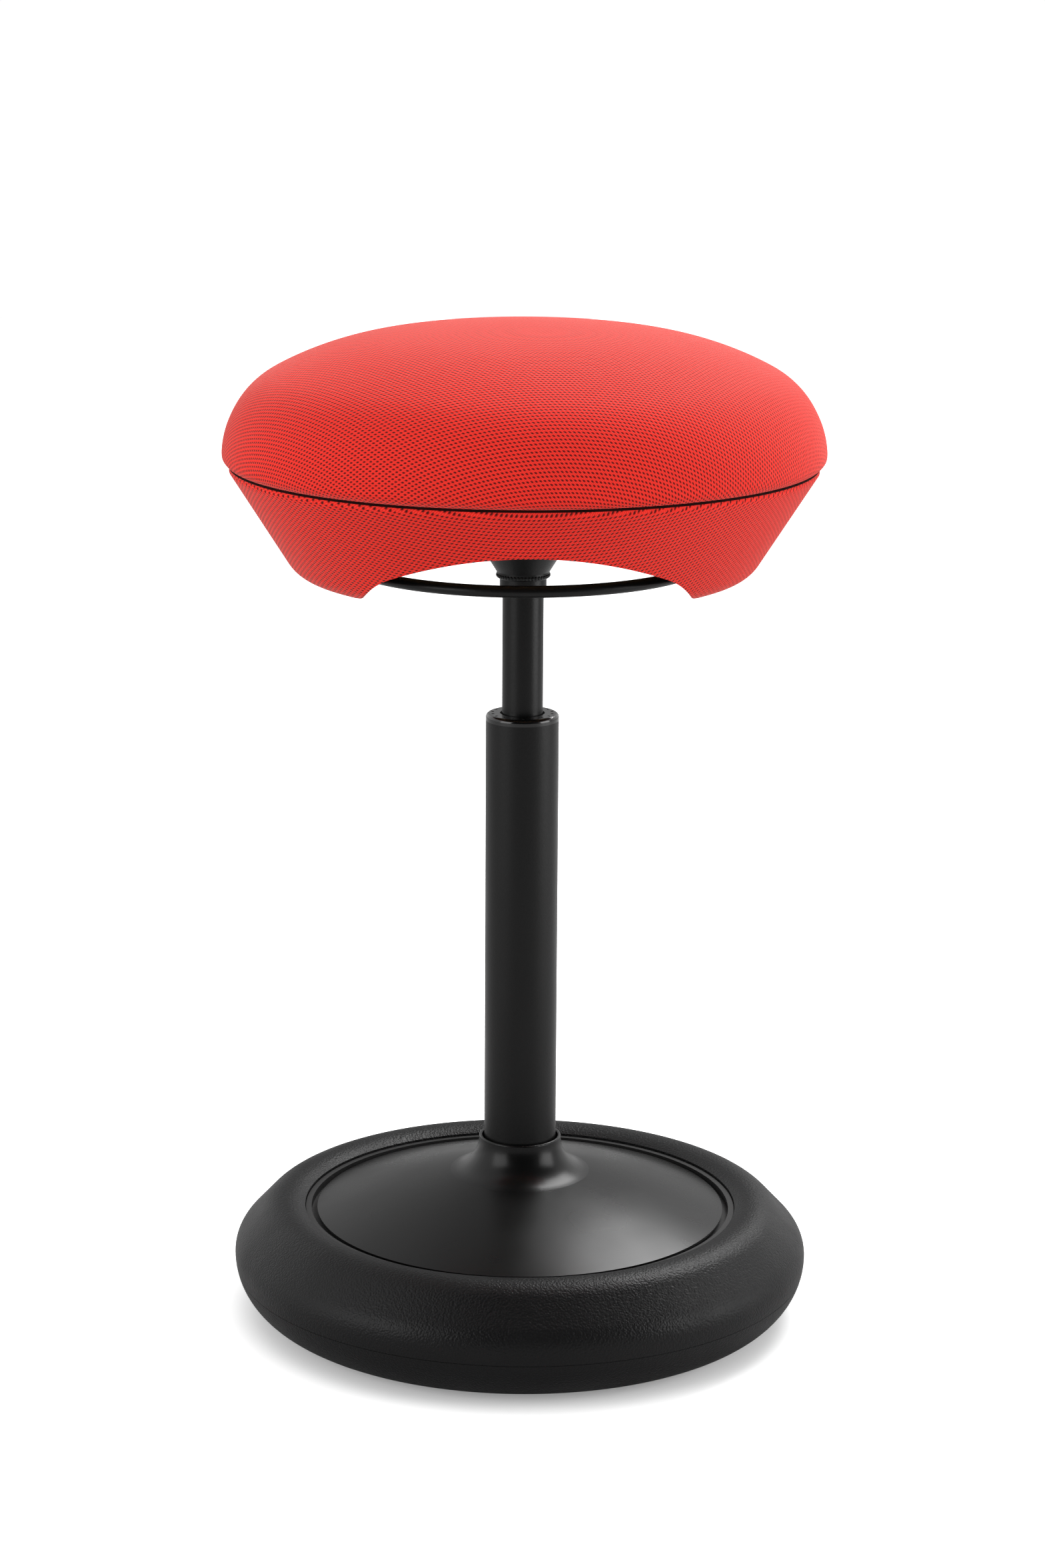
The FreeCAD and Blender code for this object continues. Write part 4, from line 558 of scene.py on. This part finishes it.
class STOOL_OT_cushion(Operator):
    """Builds the crowned cushion, lets its cover swell, and seats it on the board"""
    bl_idname = "stool.cushion"
    bl_label = "Cushion"

    def execute(self, context):
        pad, knit = context.scene.stool_cushion, context.scene.stool_knit
        side, centre = pad.radius - pad.shoulder, pad.waist
        turned = pad.shoulder_turn
        slope_x = side - (pad.slope - pad.shoulder) * math.cos(turned)
        slope_z = centre - (pad.slope - pad.shoulder) * math.sin(turned)
        tilt = math.acos(slope_x / (pad.crown - pad.slope))
        crown_z = slope_z - (pad.crown - pad.slope) * math.sin(tilt)
        mesh = bmesh.new()
        top = (0, crown_z + pad.crown)
        place = sweep_arc(mesh, mesh.verts.new((0, 0, top[1])), (0, crown_z),
                          math.degrees(tilt) - 90, 18)
        place = sweep_arc(mesh, place, (slope_x, slope_z), math.degrees(turned - tilt), 18)
        place = sweep_arc(mesh, place, (side, centre), -math.degrees(turned), 16)
        drop = math.degrees(math.asin((pad.waist - pad.seam) / pad.hem))
        place = sweep_arc(mesh, place, (pad.radius - pad.hem, pad.waist), -drop, 7)
        seam_x = place.co.x
        # the cover folds in under the hem, then runs up the board's edge and across its top
        place = extrude_run(mesh, place, [
            (seam_x - 1.4 * MM, pad.seam + 0.1 * MM), (seam_x - 5 * MM, pad.seam + 0.8 * MM),
            (pad.board + 1 * MM, pad.seam + 0.8 * MM), (pad.board, pad.seam + 1.4 * MM),
            (pad.board, pad.rest), (pad.board * 0.8, pad.rest), (pad.board * 0.55, pad.rest),
            (pad.board * 0.3, pad.rest), (pad.board * 0.1, pad.rest), (0, pad.rest)])
        measure_outline(mesh, top)
        turn_outline(mesh, 128)
        turn = Matrix.Rotation(knit.turn, 2)
        lay_cloth(mesh, lambda run, around: turn @ Vector((run * math.sin(around),
                                                            -run * math.cos(around))))
        piece = finish_piece(mesh, "cushion", bpy.data.materials["red_spacer_knit"])
        self.swell(context, piece, pad)
        piece.modifiers.new("smooth", "SUBSURF").levels = 1
        piece.modifiers["smooth"].render_levels = 1
        apply_modifiers(piece)
        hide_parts("seat_cover", "seat_foam")
        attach(piece, "seat")
        return {"FINISHED"}

    def swell(self, context, piece, pad):
        """Runs the cloth under pressure, held at the hem, with its travel capped."""
        shape = [point.co.copy() for point in piece.data.vertices]
        hold = pad.waist - pad.held
        for point in piece.data.vertices:
            give = min(max((point.co.z - hold) / pad.fade, 0), 1)
            point.co -= point.normal * pad.slack * give
        rest = [point.co.copy() for point in piece.data.vertices]
        held = piece.vertex_groups.new(name="held")
        held.add([point.index for point in piece.data.vertices if point.co.z < hold],
                 1.0, "REPLACE")
        cloth = piece.modifiers.new("cloth", "CLOTH")
        cloth.settings.quality = 6
        cloth.settings.mass = 0.3
        cloth.settings.tension_stiffness = 25
        cloth.settings.compression_stiffness = 25
        cloth.settings.bending_stiffness = 2.0
        cloth.settings.vertex_group_mass = "held"
        cloth.settings.use_pressure = True
        cloth.settings.uniform_pressure_force = pad.pressure
        cloth.settings.effector_weights.gravity = 0
        cloth.collision_settings.use_collision = False
        cloth.point_cache.frame_start, cloth.point_cache.frame_end = 1, pad.frames
        for step in range(1, pad.frames + 1):
            context.scene.frame_set(step)
        shown = piece.evaluated_get(context.evaluated_depsgraph_get())
        moved = [point.co.copy() for point in shown.data.vertices]
        piece.modifiers.clear()
        piece.vertex_groups.clear()
        context.scene.frame_set(1)
        for point, start, end in zip(piece.data.vertices, rest, moved):
            travel = end - start
            if travel.length > pad.swell:
                travel = travel.normalized() * pad.swell
            point.co = start + travel
        # the crowded middle keeps its round crown and rises with the ring about it
        lifts = [point.co.z - start.z for point, start in zip(piece.data.vertices, shape)
                 if 1.75 < start.xy.length / pad.still < 2.125 and start.z > pad.waist]
        lift = Vector((0, 0, sum(lifts) / len(lifts)))
        for point, start in zip(piece.data.vertices, shape):
            share = min(max(start.xy.length / pad.still - 1, 0), 1)
            if start.z > pad.waist and share < 1:
                point.co = (start + lift).lerp(point.co, share)
        mesh = bmesh.new()
        mesh.from_mesh(piece.data)
        soft = [point for point in mesh.verts
                if point.co.z > hold and point.co.xy.length > 0.75 * pad.still]
        for _ in range(2):
            bmesh.ops.smooth_vert(mesh, verts=soft, factor=0.4, use_axis_x=True, use_axis_y=True,
                                  use_axis_z=True)
        mesh.to_mesh(piece.data)
        mesh.free()


class STOOL_OT_skirt(Operator):
    """Builds the knitted skirt cover and cuts the hand arches through it"""
    bl_idname = "stool.skirt"
    bl_label = "Skirt cover"

    def execute(self, context):
        skirt = context.scene.stool_skirt
        angle_off = math.atan(skirt.slope)
        height = skirt.bottom + skirt.corner
        corner = (skirt.radius - skirt.corner * math.hypot(1, skirt.slope)
                  - skirt.slope * (skirt.top - height))
        mesh = bmesh.new()
        top = (skirt.radius - 3 * skirt.wall, skirt.lip)
        place = extrude_run(mesh, mesh.verts.new((top[0], 0, top[1])),
                            [(skirt.radius - skirt.fold, skirt.lip)])
        place = sweep_arc(mesh, place, (skirt.radius - skirt.fold, skirt.lip - skirt.fold), -90, 5)
        place = extrude_run(mesh, place, [(skirt.radius, skirt.top)])
        low = (corner + skirt.corner * math.cos(angle_off),
               height - skirt.corner * math.sin(angle_off))
        place = extrude_run(mesh, place, [
            (skirt.radius + (low[0] - skirt.radius) * i / 22,
             skirt.top + (low[1] - skirt.top) * i / 22) for i in range(1, 23)])
        place = sweep_arc(mesh, place, (corner, height), math.degrees(angle_off) - 90, 10)
        place = extrude_run(mesh, place, [(skirt.inner + (corner - skirt.inner) / 2, skirt.bottom),
                                          (skirt.inner, skirt.bottom)])
        measure_outline(mesh, top)
        turn_outline(mesh, 240)
        outward = sum(face.normal.dot(face.calc_center_median().normalized())
                      for face in mesh.faces)
        if outward < 0:
            bmesh.ops.reverse_faces(mesh, faces=mesh.faces[:])
        lean = math.sin(angle_off)
        apex = skirt.radius / lean + 3 * skirt.wall + skirt.lip - skirt.top
        lay_cloth(mesh, lambda run, around: Vector((
            (apex - run) * math.sin(around * lean), -(apex - run) * math.cos(around * lean))))
        piece = finish_piece(mesh, "skirt_knit", bpy.data.materials["red_spacer_knit"])
        wall = piece.modifiers.new("wall", "SOLIDIFY")
        wall.thickness, wall.offset = skirt.wall, -1.0
        wall.use_even_offset = True
        cutter = self.cut_shape(skirt)
        for turn in (0, math.pi):
            arch = piece.modifiers.new("arch", "BOOLEAN")
            arch.operation, arch.solver = "DIFFERENCE", "EXACT"
            arch.object = cutter if turn == 0 else self.turned(cutter)
        edge = piece.modifiers.new("edge", "BEVEL")
        edge.width, edge.segments = skirt.edge, 3
        edge.limit_method, edge.angle_limit = "ANGLE", math.radians(50)
        edge.use_clamp_overlap = True
        apply_modifiers(piece)
        for helper in [item for item in bpy.data.objects if item.name.startswith("arch_cutter")]:
            bpy.data.objects.remove(helper)
        piece.data.shade_smooth()
        piece.data.set_sharp_from_angle(angle=math.radians(60))
        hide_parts("skirt_cover")
        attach(piece, "seat")
        self.lay_shadow_cord(skirt)
        return {"FINISHED"}

    def lay_shadow_cord(self, skirt):
        """A dark cord in the groove between the skirt and the cushion: a painted shadow line under the
        cushion's hem.
        """
        mesh = bmesh.new()
        place = Matrix.Translation((skirt.radius + 0.7 * MM, 0, skirt.lip + 0.4 * MM))
        bmesh.ops.create_circle(mesh, segments=12, radius=skirt.shadow_cord,
                                matrix=place @ Matrix.Rotation(math.pi / 2, 4, "X"))
        turn_outline(mesh, 240)
        # dark and dull: painted shadow, so that the groove reads as one line
        material, tree, shader = start_finish("dark_shadow_cord", paint("#1C0403"), 0.95,
                                              Specular_IOR_Level=0.1)
        vary(tree, shader, 12 * MM, 0.05, 0.1)
        piece = finish_piece(mesh, "seat_piping", material)
        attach(piece, "seat")

    def cut_shape(self, skirt):
        """The outline of one arch, drawn on arcs, as a block through the front of the skirt."""
        centre = skirt.apex - skirt.sweep
        sine = skirt.reach / skirt.sweep
        cosine = math.sqrt(1 - sine * sine)
        inner = skirt.sweep - skirt.end
        end = (inner * sine, centre + inner * cosine)
        rise = skirt.bottom + skirt.toe - end[1]
        across = math.sqrt((skirt.end + skirt.toe) ** 2 - rise * rise)
        foot = end[0] + across
        half = math.degrees(math.asin(sine))
        down = math.degrees(math.atan2(rise, across))
        mesh = bmesh.new()
        place = sweep_arc(mesh, mesh.verts.new((0, 0, skirt.apex)), (0, centre), -half, 16)
        place = sweep_arc(mesh, place, end, down + half - 90, 12)
        place = sweep_arc(mesh, place, (foot, skirt.bottom + skirt.toe), 90 - down, 6)
        place = extrude_run(mesh, place, [(foot, skirt.bottom - 4 * MM),
                                          (0, skirt.bottom - 4 * MM)])
        bmesh.ops.mirror(mesh, geom=mesh.verts[:] + mesh.edges[:],
                          matrix=Matrix.Identity(4), merge_dist=0.02 * MM, axis="X")
        bmesh.ops.remove_doubles(mesh, verts=mesh.verts[:], dist=0.01 * MM)
        bmesh.ops.contextual_create(mesh, geom=mesh.edges[:])
        pushed = bmesh.ops.extrude_face_region(mesh, geom=mesh.faces[:])["geom"]
        bmesh.ops.translate(mesh, vec=(0, -1.2 * skirt.radius, 0),
                            verts=[item for item in pushed if isinstance(item, bmesh.types.BMVert)])
        bmesh.ops.recalc_face_normals(mesh, faces=mesh.faces[:])
        cutter = finish_piece(mesh, "arch_cutter", bpy.data.materials["red_spacer_knit"])
        cutter.hide_render = True
        return cutter

    def turned(self, cutter):
        """The same arch for the back of the skirt."""
        twin = cutter.copy()
        twin.data = cutter.data.copy()
        twin.data.transform(Matrix.Rotation(math.pi, 4, "Z"))
        bpy.context.scene.collection.objects.link(twin)
        return twin


class STOOL_OT_foot(Operator):
    """Builds the two foam mouldings of the foot ring, which give as the stool leans"""
    bl_idname = "stool.foot"
    bl_label = "Foot ring"

    def execute(self, context):
        foot = context.scene.stool_foot
        foam = bpy.data.materials["skinned_foam"]
        sole = foot.radius - foot.waist
        under, over = foot.parting - foot.gap / 2, foot.parting + foot.gap / 2
        dip = math.degrees(math.asin((foot.waist - under) / foot.waist))
        mesh = bmesh.new()
        bore = foot.bore + foot.relief
        place = extrude_run(mesh, mesh.verts.new((bore + foot.corner, 0, 0)),
                            [(sole - 4 * MM, 0), (sole, 0)])
        place = sweep_arc(mesh, place, (sole, foot.waist), 90 - dip, 18)
        place = extrude_run(mesh, place, [
            (place.co.x - 0.5 * MM, under), (place.co.x - 12 * MM, under),
            (bore + 2 * MM, under), (bore, under), (bore, under - 3 * MM), (bore, foot.corner)])
        place = sweep_arc(mesh, place, (bore + foot.corner, foot.corner), 90, 6)
        turn_outline(mesh, 224)
        lower = finish_piece(mesh, "foot_skin_lower", foam)
        rise = math.degrees(math.asin((foot.waist - over) / foot.waist))
        run = foot.radius - foot.shoulder - foot.crest_radius
        drop = foot.crest - foot.shoulder - foot.waist
        slant = math.degrees(math.atan2(run, drop))
        back = math.degrees(math.asin((foot.crest_radius - foot.lip) / foot.shoulder))
        mesh = bmesh.new()
        edge = sole + foot.waist * math.cos(math.radians(rise))
        place = sweep_arc(mesh, mesh.verts.new((edge, 0, over)), (sole, foot.waist), rise, 6)
        place = sweep_arc(mesh, place, (foot.radius - foot.shoulder, foot.waist), slant, 12)
        high = (foot.crest_radius, foot.crest - foot.shoulder)
        place = extrude_run(mesh, place, [
            (high[0] + foot.shoulder * math.cos(math.radians(slant)),
             high[1] + foot.shoulder * math.sin(math.radians(slant)))])
        place = sweep_arc(mesh, place, high, 90 - slant + back, 16)
        place = extrude_run(mesh, place, [
            (foot.lip, foot.ledge + 3 * MM), (foot.lip, foot.ledge),
            (foot.lip - 4 * MM, foot.ledge), (foot.bore, foot.ledge),
            (foot.bore, foot.ledge - 3 * MM), (foot.bore, over + 3 * MM), (foot.bore, over),
            (foot.bore + 4 * MM, over), (edge - 12 * MM, over), (edge - 0.5 * MM, over),
            (edge, over)])
        turn_outline(mesh, 224)
        upper = finish_piece(mesh, "foot_skin_upper", foam)
        for piece, node in ((lower, "foot_ring_lower"), (upper, "foot_ring_upper")):
            piece.data.set_sharp_from_angle(angle=math.radians(50))
            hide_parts(node)
        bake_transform(lower, "floor_foot", "tilting_foot", start=(0, 0, 0), end=(0, 0, foot.parting))
        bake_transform(upper, "tilting_foot", "base", start=(0, 0, foot.parting),
                 end=(0, 0, foot.ledge))
        return {"FINISHED"}


class STOOL_OT_marks(Operator):
    """Builds the moulded dashes on the guide bush and the ripples of the funnel's weld"""
    bl_idname = "stool.marks"
    bl_label = "Moulded and welded marks"

    def execute(self, context):
        hardware = context.scene.stool_hardware
        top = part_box("guide_bush")[1].z
        mesh = bmesh.new()
        for i in range(hardware.dashes):
            turn = Matrix.Rotation(2 * math.pi * (i + 0.5) / hardware.dashes, 4, "Z")
            place = Matrix.Translation((hardware.dash_ring, 0, top - 0.02 * MM))
            size = Matrix.Diagonal((hardware.dash_length, hardware.dash_width,
                                    hardware.dash_height, 1))
            bar = bmesh.ops.create_cube(mesh, size=1.0, matrix=turn @ place @ size)["verts"]
            edges = {edge for point in bar for edge in point.link_edges}
            bmesh.ops.bevel(mesh, geom=list(edges), offset=0.16 * MM, offset_type="OFFSET",
                            affect="EDGES", segments=2, profile=0.5, material=-1)
        dashes = finish_piece(mesh, "bush_dashes", bpy.data.materials["glossy_acetal"])
        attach(dashes, "base")
        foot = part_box("hub_funnel")[0].z
        mesh = bmesh.new()
        for i in range(hardware.ripples):
            turn = Matrix.Rotation(2 * math.pi * i / hardware.ripples, 4, "Z")
            place = Matrix.Translation((hardware.weld_ring, 0, foot + 2.2 * MM))
            # each ripple is a flattened bead that leans the way the torch went
            lean = Matrix.Rotation(math.radians(24), 4, "X") @ Matrix.Diagonal((0.72, 1, 1.25, 1))
            bmesh.ops.create_icosphere(mesh, subdivisions=2, radius=hardware.bead,
                                       matrix=turn @ place @ lean)
        weld = finish_piece(mesh, "funnel_weld", bpy.data.materials["powder_coated_steel"])
        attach(weld, "seat")
        return {"FINISHED"}


class STOOL_OT_studio(Operator):
    """Builds the camera, the lamps, the world and the floor, whose soft shadow is partly painted into its
    glow
    """
    bl_idname = "stool.studio"
    bl_label = "Stage"

    def execute(self, context):
        studio = context.scene.stool_studio
        scene = context.scene
        lens = bpy.data.cameras.new("camera")
        lens.lens, lens.sensor_width, lens.shift_x = studio.lens, 36, studio.shift
        camera = bpy.data.objects.new("camera", lens)
        camera.location = (-studio.aside, -studio.distance, studio.height)
        camera.rotation_euler = (math.pi / 2 - studio.pitch, 0, 0)
        scene.collection.objects.link(camera)
        scene.camera = camera
        self.add_lamp(scene, "key", (0.9, 1.1, 1.9), 1.1, studio.key)
        self.add_lamp(scene, "fill", (-1.7, -1.2, 0.9), 1.4, studio.fill)
        self.add_lamp(scene, "side", (1.9, -0.5, 0.7), 1.2, studio.side)
        self.light_world(scene, studio)
        self.lay_floor()
        scene.view_settings.view_transform = "Standard"
        return {"FINISHED"}

    def add_lamp(self, scene, name, place, size, watts):
        """Adds a square lamp, its side in metres, that faces the middle of the stool."""
        lamp = bpy.data.lights.new(name, "AREA")
        lamp.size, lamp.energy = size, watts
        holder = bpy.data.objects.new(name, lamp)
        holder.location = place
        aim = Vector((0, 0, 0.35)) - Vector(place)
        holder.rotation_euler = aim.to_track_quat("-Z", "Y").to_euler()
        scene.collection.objects.link(holder)

    def light_world(self, scene, studio):
        """White to the eye; softer as light, and dim from the front in reflections."""
        world = bpy.data.worlds.new("world")
        scene.world = world
        world.use_nodes = True
        tree = world.node_tree
        tree.nodes.clear()
        ray = add_node(tree, "ShaderNodeLightPath")
        aim = add_node(tree, "ShaderNodeNewGeometry")
        axes = add_node(tree, "ShaderNodeSeparateXYZ", {"Vector": aim.outputs["Position"]})
        # the sky is dark in front, a little to the right, and full from the sides backwards
        aside = add_node(tree, "ShaderNodeMath", {0: axes.outputs["X"], 1: -0.35,
                                                  2: axes.outputs["Y"]},
                         operation="MULTIPLY_ADD")
        front = add_node(tree, "ShaderNodeMapRange", {
            "Value": aside.outputs[0], "From Min": -0.4, "From Max": 0.15,
            "To Min": 0.03, "To Max": 1.0}, interpolation_type="SMOOTHSTEP")
        clear = add_node(tree, "ShaderNodeMath", {
            0: ray.outputs["Is Camera Ray"], 1: ray.outputs["Is Transmission Ray"]},
            operation="MAXIMUM")
        # gloss shows two bright wings with a dimmer middle, as on round black tubes
        beside = add_node(tree, "ShaderNodeMath", {0: axes.outputs["X"]}, operation="ABSOLUTE")
        wings = add_node(tree, "ShaderNodeMapRange", {
            "Value": beside.outputs[0], "From Min": 0.05, "From Max": 0.5,
            "To Min": 0.4, "To Max": 1.0}, interpolation_type="SMOOTHSTEP")
        panels = add_node(tree, "ShaderNodeMath", {
            0: front.outputs["Result"], 1: wings.outputs["Result"]}, operation="MULTIPLY")
        mirrored = add_node(tree, "ShaderNodeMath", {
            0: ray.outputs["Is Glossy Ray"], 1: panels.outputs[0]}, operation="MULTIPLY")
        matt = add_node(tree, "ShaderNodeMath", {
            0: 1.0, 1: ray.outputs["Is Glossy Ray"]}, operation="SUBTRACT")
        level = add_node(tree, "ShaderNodeMapRange", {
            "Value": front.outputs["Result"], "To Min": 0.8 * studio.sky,
            "To Max": 1.2 * studio.sky})
        soft = add_node(tree, "ShaderNodeMath", {
            0: matt.outputs[0], 1: level.outputs["Result"], 2: mirrored.outputs[0]},
            operation="MULTIPLY_ADD")
        strength = add_node(tree, "ShaderNodeMath", {0: clear.outputs[0], 1: soft.outputs[0]},
                            operation="MAXIMUM")
        sky = add_node(tree, "ShaderNodeBackground", {"Strength": strength.outputs[0],
                                                      "Color": (1, 1, 1, 1)})
        add_node(tree, "ShaderNodeOutputWorld", {"Surface": sky.outputs[0]})

    def lay_floor(self):
        """White paper that glows for the camera where it is open; near the stool the glow fades into a
        painted shadow, beside the paper's real shadow.
        """
        mesh = bmesh.new()
        bmesh.ops.create_grid(mesh, x_segments=2, y_segments=2, size=6.0)
        material = bpy.data.materials.new("white_paper")
        material.use_nodes = True
        tree = material.node_tree
        tree.nodes.clear()
        ray = add_node(tree, "ShaderNodeLightPath")
        bounce = add_node(tree, "ShaderNodeMapRange", {
            "Value": ray.outputs["Is Camera Ray"], "To Min": 0.5, "To Max": 0.8})
        paper = add_node(tree, "ShaderNodeBsdfDiffuse", {"Color": bounce.outputs["Result"]})
        # within 120 mm of the stool the paper's glow fades with ambient occlusion: a painted shadow over the
        # real one in the diffuse paper
        near = add_node(tree, "ShaderNodeAmbientOcclusion", {"Distance": 0.12}, samples=8)
        lift = add_node(tree, "ShaderNodeMapRange", {
            "Value": near.outputs["AO"], "From Min": 0.35, "From Max": 1.0,
            "To Min": 0.22, "To Max": 0.95})
        glow = add_node(tree, "ShaderNodeEmission", {"Color": (1, 1, 1, 1),
                                                     "Strength": lift.outputs["Result"]})
        seen = add_node(tree, "ShaderNodeMath", {
            0: ray.outputs["Is Camera Ray"], 1: ray.outputs["Is Transmission Ray"]},
            operation="MAXIMUM")
        dark = add_node(tree, "ShaderNodeEmission", {"Color": (0, 0, 0, 1), "Strength": 0.0})
        choice = add_node(tree, "ShaderNodeMixShader", {0: seen.outputs[0], 1: dark.outputs[0],
                                                        2: glow.outputs[0]})
        both = add_node(tree, "ShaderNodeAddShader", {0: paper.outputs[0], 1: choice.outputs[0]})
        add_node(tree, "ShaderNodeOutputMaterial", {"Surface": both.outputs[0]})
        floor = finish_piece(mesh, "floor", material)


OPERATORS = (STOOL_OT_studio, STOOL_OT_finishes, STOOL_OT_cushion, STOOL_OT_skirt,
             STOOL_OT_foot, STOOL_OT_marks)


class STOOL_PT_panel(Panel):
    """The stool's settings and the steps that build it"""
    bl_label = "Wobble stool"
    bl_idname = "STOOL_PT_panel"
    bl_space_type = "VIEW_3D"
    bl_region_type = "UI"
    bl_category = "Stool"

    def draw(self, context):
        for step in OPERATORS:
            self.layout.operator(step.bl_idname)
        for name in SETTINGS:
            box = self.layout.box()
            group = getattr(context.scene, name)
            for key in group.bl_rna.properties.keys():
                if key not in {"rna_type", "name"}:
                    box.prop(group, key)


def register():
    for item in (*SETTINGS.values(), *OPERATORS, STOOL_PT_panel):
        bpy.utils.register_class(item)
    for name, group in SETTINGS.items():
        setattr(bpy.types.Scene, name, PointerProperty(type=group))


def unregister():
    for name in SETTINGS:
        delattr(bpy.types.Scene, name)
    for item in (STOOL_PT_panel, *reversed(OPERATORS), *reversed(SETTINGS.values())):
        bpy.utils.unregister_class(item)


def main():
    register()
    for step in OPERATORS:
        group, name = step.bl_idname.split(".")
        getattr(getattr(bpy.ops, group), name)()


if __name__ == "__main__":
    main()
